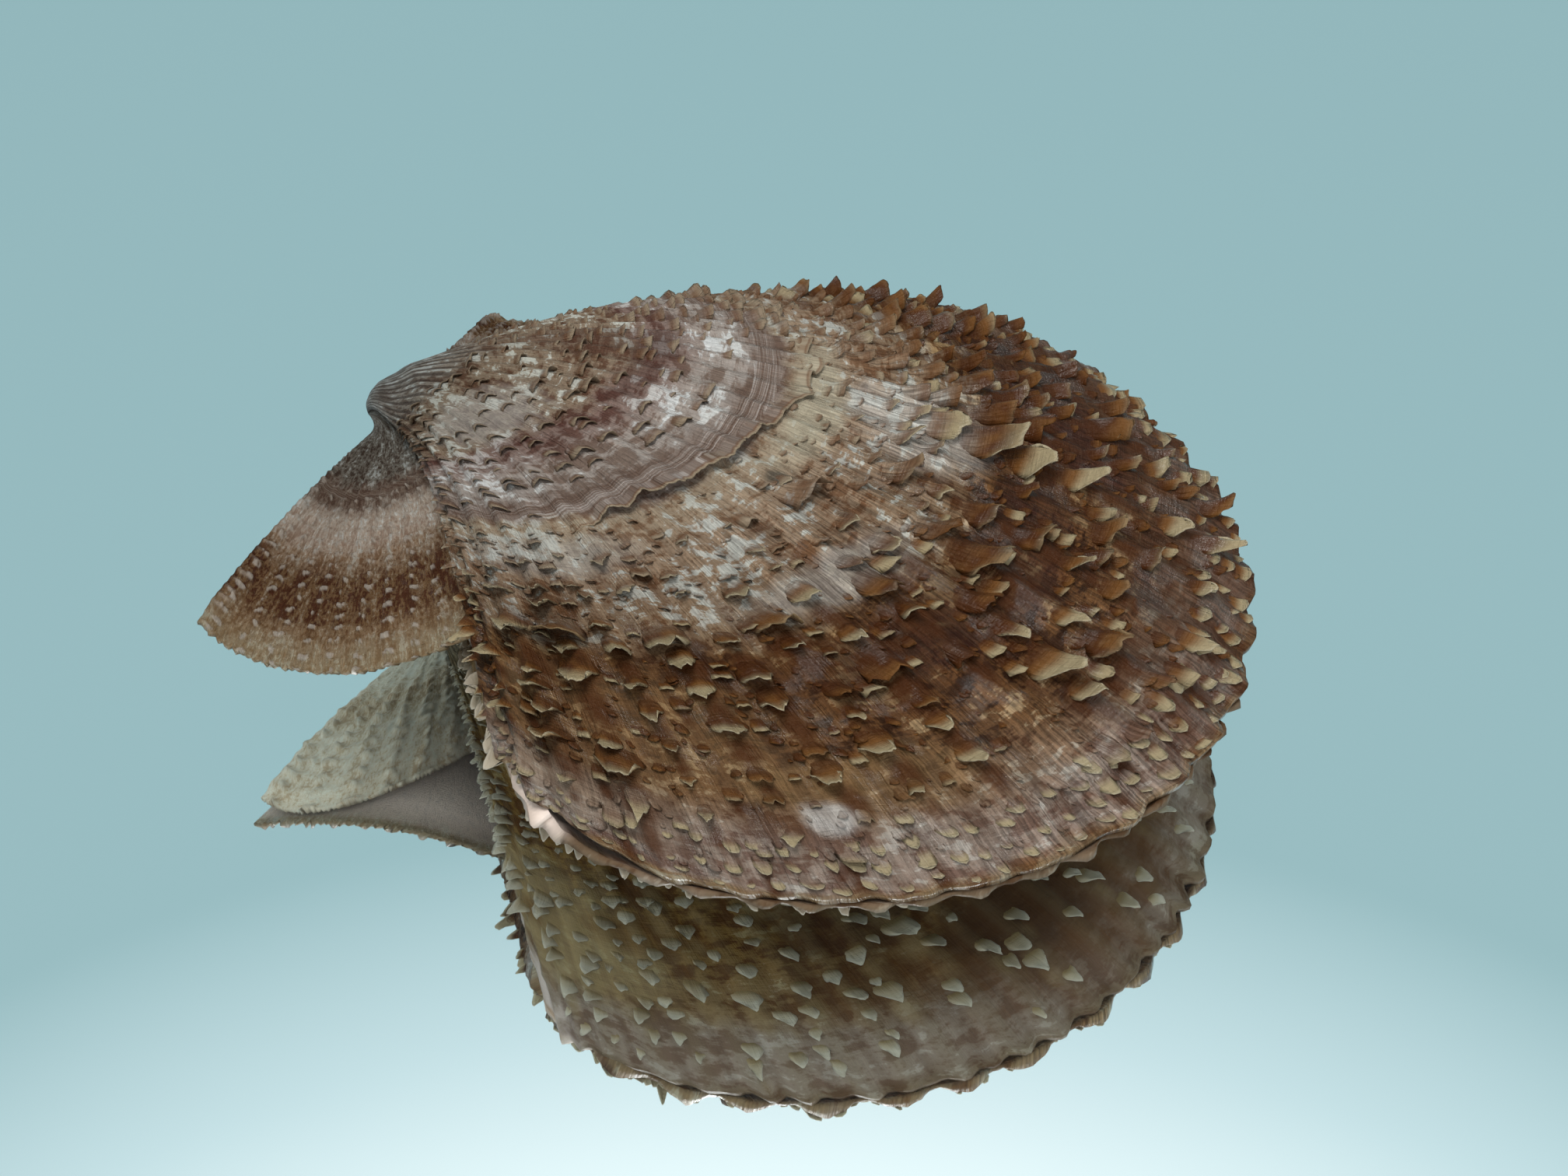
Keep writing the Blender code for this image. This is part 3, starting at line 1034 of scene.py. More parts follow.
    def build_hoods(self) -> bpy.types.Object:
        """Builds small vaulted hoods on the early ribs, and between the ribs that carry the big scales.

        Returns:
            The piece, in the scene.
        """
        plates = PlateSet(self.hood.rows, self.hood.columns)
        for number, place in enumerate(self.ribs.places):
            growth, kept, share = self.sow(self.hood_row, bare=0.40)
            growth = growth + 0.011 * (number % 2)
            smoothed = (growth > 0.43) & (0.25 < place < 0.62)
            self.add_scales(plates, self.hood, growth, place, (0.30 + growth) * share, kept & ~smoothed)
        for place in self.ribs.places[:-1] + 0.5 * self.ribs.spacing:
            growth, kept, share = self.sow(self.between_row, bare=0.66 if 0.30 < place < 0.60 else 0.48)
            self.add_scales(plates, self.between, growth, place, (0.5 + 0.5 * growth) * share, kept)
        return plates.build("upper_hoods")

    def build_nubs(self) -> bpy.types.Object:
        """Builds grain-like scales on the riblets, and a fringe of small ones at the margin.

        Returns:
            The piece, in the scene.
        """
        plates = PlateSet(self.nub.rows, self.nub.columns)
        for place in self.ribs.places[:-1]:
            for beside in self.riblet_places:
                growth, kept, share = self.sow(self.nub_row, bare=0.68)
                across = place + (beside + self.chance.uniform(-0.05, 0.05, len(growth))) * self.ribs.spacing
                self.add_scales(plates, self.nub, growth, across, (0.5 + 0.5 * growth) * share, kept)
        for place in np.arange(0.09, 0.92, self.ribs.spacing / 2.5):
            growth = np.array(self.fringe_growths) + self.chance.uniform(-0.006, 0.004, 3)
            size = self.chance.uniform(0.5, 1.2, 3)
            self.add_scales(plates, self.fringe, growth, place + self.chance.uniform(-0.004, 0.004, 3), size)
        return plates.build("upper_nubs")

    def build_lip(self) -> bpy.types.Object:
        """Builds the thin ragged lip of shell where growth once stopped.

        Returns:
            The piece, in the scene.
        """
        rows, columns = self.lip_grid
        plates = PlateSet(rows, columns)
        a = np.linspace(0.0, 1.0, rows)[:, None]
        across = np.broadcast_to(np.linspace(*self.lip_span, columns), (rows, columns))
        strength = self.lip_size(across)
        torn = 1.0 + 0.6 * ripple(31, across * 22.0, waves=9) + 0.3 * ripple(32, across * 85.0, waves=9)
        reach = 0.008 + 0.006 * strength * torn
        edge = self.lip_growth(across)
        growth = edge - 0.014 + (0.014 + reach) * a
        held = np.minimum(growth, edge - 0.002)
        base, normal, _ = self.outside(held, across)
        forward = self.surface.place(growth, across) - self.surface.place(held, across)
        curl = 0.45 * strength * a**2.2 * (0.6 + 0.5 * ripple(33, across * 30.0))
        top = base + forward + normal * (MM * (0.16 * a - 0.10 + curl))[..., None]
        bottom = top - normal * (MM * (0.30 - 0.16 * a))[..., None]
        tip = 0.95 * smooth(a, 0.72, 1.0)[None]
        plates.add(
            top[None], bottom[None], growth=held[None], across=across[None], crest=0.5, lining=0.0, tip=tip,
            shade=0.5, pocket=0.0,
        )
        return plates.build("growth_lip")


@dataclass
class LowerValve(Valve):
    """The right valve: flatter and paler, with fine riblets and close rows of small pointed scales.

    fray and shoulder_reach are how far its margin is uneven and its front shoulder stands out past the
    left valve, as shares of growth. row is how its pointed scales stand.
    """

    name: str = "lower_valve"
    node: str = "right_valve"
    slot_name: str = "pale_scaled_valve"
    disc_columns: int = 330
    rows: int = 120
    lining_rows: int = 25
    ledges: tuple[tuple[float, float], ...] = tuple((place, 0.15) for place in (0.30, 0.48, 0.72, 0.90, 0.96))
    ledge_wander: float = 0.008
    ledge_cycles: float = 6.0
    ledge_seed: int = 7
    tooth: float = 0.004
    fray: float = 0.006
    shoulder_reach: float = 0.072
    pointed: ScaleStyle = ScaleStyle(
        length=2.4 * MM, width=2.1 * MM, height=1.30 * MM, rows=6, columns=9, arch=0.6, taper=0.95,
        narrow=0.25, point=0.46, corner=1.3, curl=0.2, wave=0.03, thick=0.25 * MM,
    )
    row: Row = Row(0.24, 0.985, 0.0235, 0.005, (0.55, 1.30))

    def ear_relief(self, growth: Array, across: Array) -> tuple[Array, Array]:
        """Low uneven folds on the anterior ear, and faint rays on the posterior one.

        Args:
            growth: growth of each place.
            across: place along the margin.

        Returns:
            Heights in metres, and 0 to 1 for how much of a nodule the place is.
        """
        turn = np.where(across < 0, -across, across - 1.0)
        radial = np.cos(2 * math.pi * 6.5 * turn + 1.3 * ripple(43, turn * 5, growth * 4))
        rings = np.cos(2 * math.pi * growth * 17.0 + 2.2 * ripple(45, turn * 7, growth * 3))
        nodule = smooth(radial, -0.2, 0.9) * smooth(rings, -0.3, 0.9) * smooth(turn, 0.1, 0.3)
        nodule = nodule * smooth(growth, 0.45, 0.65)
        size = smooth(growth, 0.1, 0.5)
        return (0.14 + 0.08 * radial + 0.05 * rings + 0.42 * nodule) * MM * size, 0.6 * nodule

    def lining_share(self, growth: Array, across: Array) -> Array:
        """How much of the inside is plain lining, which runs to the margin on the front shoulder."""
        shoulder = smooth(across, 0.04, 0.07) * (1.0 - smooth(across, 0.17, 0.20))
        return np.maximum(super().lining_share(growth, across), shoulder)

    def edge_growth(self, growth: Array, across: Array) -> Array:
        """Growth after the margin's teeth and the front shoulder are let out.

        Args:
            growth: growth of each place on a plain margin.
            across: place along the margin.

        Returns:
            Growth on the uneven margin.
        """
        disc = (across > 0) & (across < 1)
        frayed = self.fray * ripple(self.seed + 9, across * 45.0) * smooth(growth, 0.95, 1.0)
        plain = growth * (1.0 + frayed + np.where(disc, self.teeth(growth, across), 0.0))
        shoulder = self.shoulder_reach * smooth(across, 0.06, 0.10) * (1.0 - smooth(across, 0.15, 0.21))
        return plain * (1.0 + shoulder * smooth(growth, 0.85, 1.0))

    def build_scales(self) -> bpy.types.Object:
        """Builds close rows of small pointed scales, out of step from rib to rib.

        Returns:
            The piece, in the scene.
        """
        plates = PlateSet(self.pointed.rows, self.pointed.columns)
        for number, place in enumerate(self.ribs.places):
            behind = float(smooth(place, 0.30, 0.50))
            shift = 0.012 * (number % 2)
            growth, kept, share = self.sow(self.row, bare=0.16 + 0.34 * behind, shift=shift)
            kept = kept & (growth < 0.985) & ~((place < 0.19) & (growth > 0.86))
            size = (0.25 + 0.75 * growth) * share * (1.0 - 0.4 * smooth(growth, 0.90, 0.98))
            size = size * (0.55 + 0.45 * float(smooth(place, 0.08, 0.18))) * (1.0 - 0.05 * behind)
            across = place + self.chance.uniform(-0.35, 0.35, len(growth)) * self.ribs.spacing
            self.add_scales(plates, self.pointed, growth, across, size, kept)
        return plates.build("lower_scales")


class Signal:
    """A node's output, which can be reckoned with like a number."""

    def __init__(self, kit: "NodeKit", socket: bpy.types.NodeSocket) -> None:
        self.kit = kit
        self.socket = socket

    def __add__(self, other: "Feed") -> "Signal":
        """Sum of the two."""
        return self.kit.math("ADD", self, other)

    def __sub__(self, other: "Feed") -> "Signal":
        """What is left when the other is taken away."""
        return self.kit.math("SUBTRACT", self, other)

    def __rsub__(self, other: "Feed") -> "Signal":
        """What is left of a plain number when this is taken away."""
        return self.kit.math("SUBTRACT", other, self)

    def __mul__(self, other: "Feed") -> "Signal":
        """Product of the two."""
        return self.kit.math("MULTIPLY", self, other)

    def __truediv__(self, other: "Feed") -> "Signal":
        """This over the other."""
        return self.kit.math("DIVIDE", self, other)

    def __abs__(self) -> "Signal":
        """Size without the sign."""
        return self.kit.math("ABSOLUTE", self)

    __radd__ = __add__
    __rmul__ = __mul__


Feed = Signal | float | tuple[float, ...]
Inputs = dict[str | int, Feed]


class NodeKit:
    """Short ways to add nodes to one node tree."""

    def __init__(self, tree: bpy.types.NodeTree) -> None:
        """Keeps the tree that nodes are added to."""
        self.tree = tree

    def add(self, kind: str, inputs: Inputs | None = None, **settings: object) -> bpy.types.Node:
        """Adds a node.

        Args:
            kind: Blender's name for the node's type.
            inputs: what feeds each input, by its name or number.
            settings: properties set on the node first.

        Returns:
            The node.
        """
        node = self.tree.nodes.new(kind)
        for name, value in settings.items():
            setattr(node, name, value)
        self.feed(node, inputs or {})
        return node

    def feed(self, node: bpy.types.Node, inputs: Inputs) -> None:
        """Links signals to a node's inputs, or sets the inputs' own values.

        Args:
            node: the node.
            inputs: what feeds each input, by its name or number.
        """
        for name, value in inputs.items():
            socket = node.inputs[name]
            if isinstance(value, Signal):
                self.tree.links.new(value.socket, socket)
            elif socket.type == "RGBA":
                socket.default_value = (*value, 1.0)
            else:
                socket.default_value = value

    def outputs(self, node: bpy.types.Node) -> dict[str, Signal]:
        """All of a node's outputs, by name."""
        return {socket.name: Signal(self, socket) for socket in node.outputs}

    def signal(
        self, kind: str, inputs: Inputs | None = None, output: str | int = 0, **settings: object
    ) -> Signal:
        """Adds a node as add does, for one of its outputs by name or number."""
        return Signal(self, self.add(kind, inputs, **settings).outputs[output])

    def math(self, operation: str, *values: Feed) -> Signal:
        """Result of a Math node."""
        return self.signal("ShaderNodeMath", dict(enumerate(values)), operation=operation)

    def mix(self, factor: Feed, first: Feed, second: Feed) -> Signal:
        """Mixes two colours, where 0 is the first and 1 the second."""
        return self.signal("ShaderNodeMix", {0: factor, 6: first, 7: second}, output=2, data_type="RGBA")

    def step(self, value: Feed, low: float, high: float) -> Signal:
        """Eases a step of a value from 0 to 1.

        Args:
            value: what the step follows.
            low: where it is 0.
            high: where it is 1; below low it falls instead.

        Returns:
            The step.
        """
        ends = (low, high, 0.0, 1.0) if low < high else (high, low, 1.0, 0.0)
        inputs = dict(enumerate((value, *ends)))
        return self.signal("ShaderNodeMapRange", inputs, interpolation_type="SMOOTHSTEP")

    def ramp(self, factor: Feed, stops: Sequence[tuple[float, Colour]]) -> Signal:
        """Runs a value through colours.

        Args:
            factor: the value.
            stops: place and colour of each stop, in order.

        Returns:
            The colour.
        """
        node = self.add("ShaderNodeValToRGB", {0: factor})
        elements = node.color_ramp.elements
        while len(elements) < len(stops):
            elements.new(0.5)
        for element, (place, _) in zip(elements, stops):
            element.position = place
        for element, (_, colour) in zip(elements, stops):
            element.color = (*colour, 1.0)
        return Signal(self, node.outputs[0])

    def vector(self, x: Feed, y: Feed) -> Signal:
        """Two values joined to a flat vector."""
        return self.signal("ShaderNodeCombineXYZ", {0: x, 1: y})

    def noise(
        self, vector: Signal, scale: float, detail: float, roughness: float, distortion: float = 0.0
    ) -> Signal:
        """Samples a noise texture at a vector; its value is about 0.5 on average."""
        shape = {"Scale": scale, "Detail": detail, "Roughness": roughness, "Distortion": distortion}
        return self.signal("ShaderNodeTexNoise", {"Vector": vector, **shape})

    def fact(self, name: str) -> Signal:
        """A number that the mesh carries."""
        return self.signal("ShaderNodeAttribute", output="Fac", attribute_name=name)


class SocketKind(Enum):
    """What a group's socket carries."""

    NUMBER = "NodeSocketFloat"
    COLOUR = "NodeSocketColor"


@dataclass(frozen=True)
class EffectGroup:
    """A shader node group with named inputs and outputs that materials share.

    inputs holds each input's own value, outputs what each output carries, and wiring the function
    that joins them.
    """

    name: str
    inputs: dict[str, float | Colour]
    outputs: dict[str, SocketKind]
    wiring: Callable[[NodeKit, dict[str, Signal]], dict[str, Signal]]

    def build(self) -> bpy.types.NodeTree:
        """Makes the group once, and hands out the same one after that.

        Returns:
            The group.
        """
        if self.name in bpy.data.node_groups:
            return bpy.data.node_groups[self.name]
        tree = bpy.data.node_groups.new(self.name, "ShaderNodeTree")
        for name, value in self.inputs.items():
            colour = isinstance(value, tuple)
            kind = SocketKind.COLOUR if colour else SocketKind.NUMBER
            socket = tree.interface.new_socket(name, in_out="INPUT", socket_type=kind.value)
            socket.default_value = (*value, 1.0) if colour else value
        for name, kind in self.outputs.items():
            tree.interface.new_socket(name, in_out="OUTPUT", socket_type=kind.value)
        kit = NodeKit(tree)
        entry = kit.add("NodeGroupInput")
        leave = kit.add("NodeGroupOutput")
        kit.feed(leave, self.wiring(kit, {name: Signal(kit, entry.outputs[name]) for name in self.inputs}))
        return tree

    def place(self, kit: NodeKit, **inputs: Feed) -> dict[str, Signal]:
        """Puts the group in a material, where inputs are named in lower case with _ for a space."""
        named = {name.replace("_", " ").capitalize(): value for name, value in inputs.items()}
        return kit.outputs(kit.add("ShaderNodeGroup", named, node_tree=self.build()))


def wire_mottling(kit: NodeKit, given: dict[str, Signal]) -> dict[str, Signal]:
    """Flame-shaped mottling that follows the growth lines, narrower past the lip.

    Args:
        kit: the group's nodes.
        given: the group's inputs.

    Returns:
        Masks of the middle tone, the pale marks and the dark flecks.
    """
    growth, crest = given["Growth"], given["Crest"]
    across = given["Across"] * (kit.step(growth, 0.44, 0.47) * 58.0 + 52.0)
    flame = kit.vector(across, (growth + crest * given["Flame"]) * 60.0)
    broad = kit.noise(flame, 0.15, 2.0, 0.5, 0.2)
    fine = kit.noise(flame, 0.70, 4.0, 0.65)
    arcs = kit.noise(kit.vector(across * 0.6, growth * 110.0), 0.8, 4.0, 0.65, 0.3)
    value = broad * 0.30 + fine * 0.42 + arcs * 0.28
    value = value + (crest - 0.5) * 0.012 + (given["Coverage"] - 0.5) * 0.30
    flecks = kit.noise(flame, 1.9, 3.0, 0.6)
    return {
        "Mid": kit.step(value, 0.445, 0.505),
        "Pale": kit.step(value, 0.530, 0.570),
        "Fleck": kit.step(flecks, 0.54, 0.66),
    }


MOTTLING = EffectGroup(
    "mottling",
    {"Growth": 0.0, "Across": 0.0, "Crest": 0.0, "Coverage": 0.5, "Flame": 0.004},
    dict.fromkeys(("Mid", "Pale", "Fleck"), SocketKind.NUMBER),
    wire_mottling,
)


def wire_striae(kit: NodeKit, given: dict[str, Signal]) -> dict[str, Signal]:
    """Fine radial threads crossed by finer growth lines, for bumps and for wet streaks.

    Args:
        kit: the group's nodes.
        given: the group's inputs.

    Returns:
        The bump's height, the threads, the grain, and where the shell is wet.
    """
    growth, across = given["Growth"], given["Across"]
    threads = kit.noise(kit.vector(across * 650.0, growth * 22.0), 1.0, 3.0, 0.6)
    lines = kit.noise(kit.vector(across * 26.0, growth * 330.0), 1.0, 3.0, 0.6)
    grain = kit.noise(kit.vector(across * 240.0, growth * 150.0), 1.0, 4.0, 0.65)
    wet = kit.noise(kit.vector(across * 60.0, growth * 26.0), 0.8, 2.0, 0.5)
    height = threads * 0.5 + lines * 0.35 + grain * 0.45
    return {"Height": height, "Streak": threads, "Grain": grain, "Wet": wet}


STRIAE = EffectGroup(
    "striae",
    {"Growth": 0.0, "Across": 0.0},
    dict.fromkeys(("Height", "Streak", "Grain", "Wet"), SocketKind.NUMBER),
    wire_striae,
)


def wire_scale_tint(kit: NodeKit, given: dict[str, Signal]) -> dict[str, Signal]:
    """Colour of a scale from its foot to its thin lip.

    Args:
        kit: the group's nodes.
        given: the group's inputs.

    Returns:
        The colour.
    """
    # Colour of a scale from its foot to its thin lip, whose very edge is paler: partly its own colour, partly
    # painted glow and highlight.
    tip, share = given["Tip"], given["Share"]
    along = tip + (given["Shade"] - 0.5) * 0.5 * tip
    foot = kit.mix(kit.step(along, -0.02, 0.16) * share, given["Color"], given["Foot"])
    body = kit.mix(kit.step(along, 0.16, 0.52) * share, foot, given["Body"])
    lip = kit.mix(kit.step(along, 0.46, 0.88) * 0.95, body, given["Lip"])
    # The paler thin edge is partly the lip's own colour and partly painted glow and highlight.
    return {"Color": kit.mix(kit.step(tip, 0.90, 1.0) * 0.55, lip, given["Edge"])}


SCALE_TINT = EffectGroup(
    "scale_tint",
    {
        "Color": (0.2, 0.1, 0.05), "Share": 0.6, "Tip": 0.0, "Shade": 0.5, "Foot": (0.1, 0.05, 0.03),
        "Body": (0.2, 0.1, 0.05), "Lip": (0.5, 0.4, 0.3), "Edge": (0.6, 0.5, 0.4),
    },
    {"Color": SocketKind.COLOUR},
    wire_scale_tint,
)


def wire_patch(kit: NodeKit, given: dict[str, Signal]) -> dict[str, Signal]:
    """A soft-edged oval patch at one place on a valve, with an uneven outline.

    Args:
        kit: the group's nodes.
        given: the group's inputs.

    Returns:
        The patch's mask.
    """
    growth, across = given["Growth"], given["Across"]
    uneven = (kit.noise(kit.vector(across * 110.0, growth * 60.0), 0.45, 4.0, 0.6, 0.5) - 0.5) * 1.1
    along = (growth - given["Middle growth"]) / given["Half growth"]
    over = (across - given["Middle across"]) / given["Half across"]
    distance = kit.math("SQRT", along * along + over * over)
    return {"Mask": kit.step(distance + uneven, 1.25, 0.55)}


PATCH = EffectGroup(
    "patch",
    {
        "Growth": 0.0, "Across": 0.0, "Middle growth": 0.5, "Half growth": 0.1, "Middle across": 0.5,
        "Half across": 0.1,
    },
    {"Mask": SocketKind.NUMBER},
    wire_patch,
)


def start_material(name: str) -> tuple[bpy.types.Material, NodeKit, bpy.types.Node]:
    """Starts a material.

    Args:
        name: its name.

    Returns:
        The material, its nodes, and the shader among them.
    """
    material = bpy.data.materials.new(name)
    material.use_nodes = True
    return material, NodeKit(material.node_tree), material.node_tree.nodes["Principled BSDF"]


@dataclass(frozen=True)
class Band:
    """Colours of one stage of growth: dark, middle and pale marks, and how much of it is pale."""

    growth: float
    dark: Colour
    middle: Colour
    pale: Colour
    coverage: float


@dataclass(frozen=True)
class Patch:
    """A patch of its own colour on a valve: its middle, its half sizes, and how strong it is."""

    growth: float
    across: float
    half_growth: float
    half_across: float
    colour: Colour
    strength: float

    def lay(self, kit: NodeKit, facts: dict[str, Signal], ground: Signal) -> Signal:
        """Lays the patch over a colour.

        Args:
            kit: the material's nodes.
            facts: the numbers that the mesh carries.
            ground: the colour below it.

        Returns:
            The colour with the patch.
        """
        shape = PATCH.place(
            kit, growth=facts["growth"], across=facts["across"], middle_growth=self.growth,
            half_growth=self.half_growth, middle_across=self.across, half_across=self.half_across,
        )
        return kit.mix(shape["Mask"] * self.strength, ground, self.colour)


@dataclass(frozen=True)
class ShellFinish:
    """Finish of a valve and of the scales on it.

    share is how far a scale takes its own colours, and late_share how far near the front margin.
    crest_share is how strongly crests are tinted. hollow darkens the grooves, partly as painted shade
    and partly as dirt, and the strength for the pockets darkens the hollows before scales as painted
    shade with dark stain. threads is how strong the radial streaks are, and grain the depth of the
    finest relief.
    """

    name: str
    disc: tuple[Band, ...]
    ear: tuple[Band, ...]
    patches: tuple[Patch, ...]
    scale_foot: Colour
    scale_body: Colour
    scale_deep: Colour
    scale_young: Colour
    scale_young_lip: Colour
    scale_lip: Colour
    scale_pale_edge_and_glow: Colour
    crest_tint: Colour
    crest_share: float
    nodule: Colour
    share: float
    late_share: float
    hollow: float
    pocket: float
    threads: float
    grain: float
    lining: Colour
    roughness: tuple[float, float]
    coat: float
    gloss: float
    coat_roughness: float = 0.10
    gloss_tint: Colour = (1.0, 0.8, 0.6)
    # The next two are the colours of the darker grooves near the beak and later: partly painted shade, partly
    # dirt.
    beak_groove_shade_and_dirt: Colour = (0.055, 0.036, 0.028)
    groove_shade_and_dirt: Colour = (0.045, 0.020, 0.010)
    seam: Colour = (0.05, 0.032, 0.025)

    def banded(self, kit: NodeKit, bands: Sequence[Band], facts: dict[str, Signal]) -> Signal:
        """Mottled colour of the disc or the ears.

        Args:
            kit: the material's nodes.
            bands: the stages of growth, in order.
            facts: the numbers that the mesh carries.

        Returns:
            The colour.
        """
        growth, across, crest = facts["growth"], facts["across"], facts["crest"]
        wander = (kit.noise(kit.vector(across * 14.0, growth * 10.0), 1.0, 3.0, 0.6) - 0.5) * 0.07
        stage = growth + wander - crest * 0.004
        dark, middle, pale = (
            kit.ramp(stage, [(band.growth, getattr(band, tone)) for band in bands])
            for tone in ("dark", "middle", "pale")
        )
        coverage = kit.ramp(stage, [(band.growth, (band.coverage,) * 3) for band in bands])
        marks = MOTTLING.place(kit, growth=growth, across=across, crest=crest, coverage=coverage)
        mottled = kit.mix(marks["Pale"], kit.mix(marks["Mid"], dark, middle), pale)
        return kit.mix(marks["Fleck"] * 0.40, mottled, dark)

    def ground(self, kit: NodeKit, facts: dict[str, Signal], streak: Signal) -> Signal:
        """Colour of the valve itself: bands, patches and threads, grooves darkened as painted shade with
        dirt, and hollows before scales darkened as painted shade with dark stain.

        Args:
            kit: the material's nodes.
            facts: the numbers that the mesh carries.
            streak: the radial threads.

        Returns:
            The colour.
        """
        growth, across, crest = facts["growth"], facts["across"], facts["crest"]
        middle = abs(across - 0.5)
        on_ear = kit.math("GREATER_THAN", middle, 0.5)
        disc = self.banded(kit, self.disc, facts)
        for patch in self.patches:
            disc = patch.lay(kit, facts, disc)
        raised = kit.step(crest, 0.35, 0.95) * self.crest_share * kit.step(growth, 0.48, 0.62)
        disc = kit.mix(raised, disc, self.crest_tint)
        ear = kit.mix(kit.step(crest, 0.2, 0.8) * 0.8, self.banded(kit, self.ear, facts), self.nodule)
        colour = kit.mix(on_ear, disc, ear)

        swing = kit.step(growth, 0.48, 0.60) * kit.step(middle, 0.24, 0.10) * self.threads
        thread = (kit.step(streak, 0.36, 0.64) - 0.5) * (swing + 0.5 * self.threads)
        colour = kit.signal("ShaderNodeHueSaturation", {"Value": thread + 1.0, "Color": colour})
        on_disc = 1.0 - on_ear
        # Darker grooves between the ribs near the beak: partly painted shade, partly dirt.
        beak_groove_shade_and_dirt_mask = kit.step(growth, 0.17, 0.12) * kit.step(crest, 0.55, 0.15) * on_disc * 0.75
        colour = kit.mix(beak_groove_shade_and_dirt_mask, colour, self.beak_groove_shade_and_dirt)
        # Darker grooves between the ribs of the later shell: partly painted shade, partly dirt.
        groove_shade_and_dirt_mask = kit.step(crest, 0.30, 0.0) * kit.step(growth, 0.46, 0.60) * on_disc * self.hollow
        colour = kit.mix(groove_shade_and_dirt_mask, colour, self.groove_shade_and_dirt)
        # Painted shade with dark stain in the hollow before each large scale, in the scales' foot colour.
        older = kit.step(growth, 0.60, 0.70) * 0.85 + 0.15
        pocket_shade_and_stain_mask = kit.step(facts["pocket"], 0.25, 0.95) * self.pocket * older
        colour = kit.mix(pocket_shade_and_stain_mask, colour, self.scale_foot)
        return kit.mix(kit.step(abs(across), 0.016, 0.003) * 0.75, colour, self.seam)

    def tinted(self, kit: NodeKit, facts: dict[str, Signal], wet: Signal, ground: Signal) -> Signal:
        """Colour of the valve and of the scales on it.

        Args:
            kit: the material's nodes.
            facts: the numbers that the mesh carries.
            wet: where the shell is wet.
            ground: colour of the valve itself.

        Returns:
            The colour.
        """
        growth = facts["growth"]
        early = kit.step(growth, 0.70, 0.60)
        body = kit.mix(kit.step(wet, 0.42, 0.58), self.scale_body, self.scale_deep)
        body = kit.mix(early, body, self.scale_young)
        foot = kit.mix(early, self.scale_foot, ground)
        lip = kit.mix(kit.step(growth, 0.66, 0.56), self.scale_lip, self.scale_young_lip)
        ahead = kit.step(facts["across"], 0.50, 0.40) * (self.share - self.late_share)
        share = self.share - kit.step(growth, 0.86, 0.93) * ahead
        tint = SCALE_TINT.place(
            kit, color=ground, share=share, tip=facts["tip"], shade=facts["shade"], foot=foot, body=body,
            lip=lip, edge=self.scale_pale_edge_and_glow,
        )
        return tint["Color"]

    def build(self) -> bpy.types.Material:
        """Makes the material.

        Returns:
            The material.
        """
        material, kit, shader = start_material(self.name)
        facts = {name: kit.fact(name) for name in FACTS}
        striae = STRIAE.place(kit, growth=facts["growth"], across=facts["across"])
        colour = self.tinted(kit, facts, striae["Wet"], self.ground(kit, facts, striae["Streak"]))
        low, high = self.roughness
        rough = kit.signal("ShaderNodeMapRange", {0: striae["Grain"], 1: 0.3, 2: 0.7, 3: low, 4: high})
        wet = kit.step(striae["Wet"], 0.52, 0.62) * kit.step(facts["growth"], 0.50, 0.66)
        relief = {"Height": striae["Height"], "Strength": 1.0, "Distance": self.grain}
        bump = kit.signal("ShaderNodeBump", relief)
        kit.feed(shader, {
            "Base Color": kit.mix(facts["lining"], colour, self.lining),
            "Roughness": rough,
            "Coat Weight": wet * self.coat,
            "Coat Roughness": self.coat_roughness,
            "Specular IOR Level": self.gloss,
            "Specular Tint": self.gloss_tint,
            "Normal": bump,
            "Coat Normal": bump,
        })
        return material


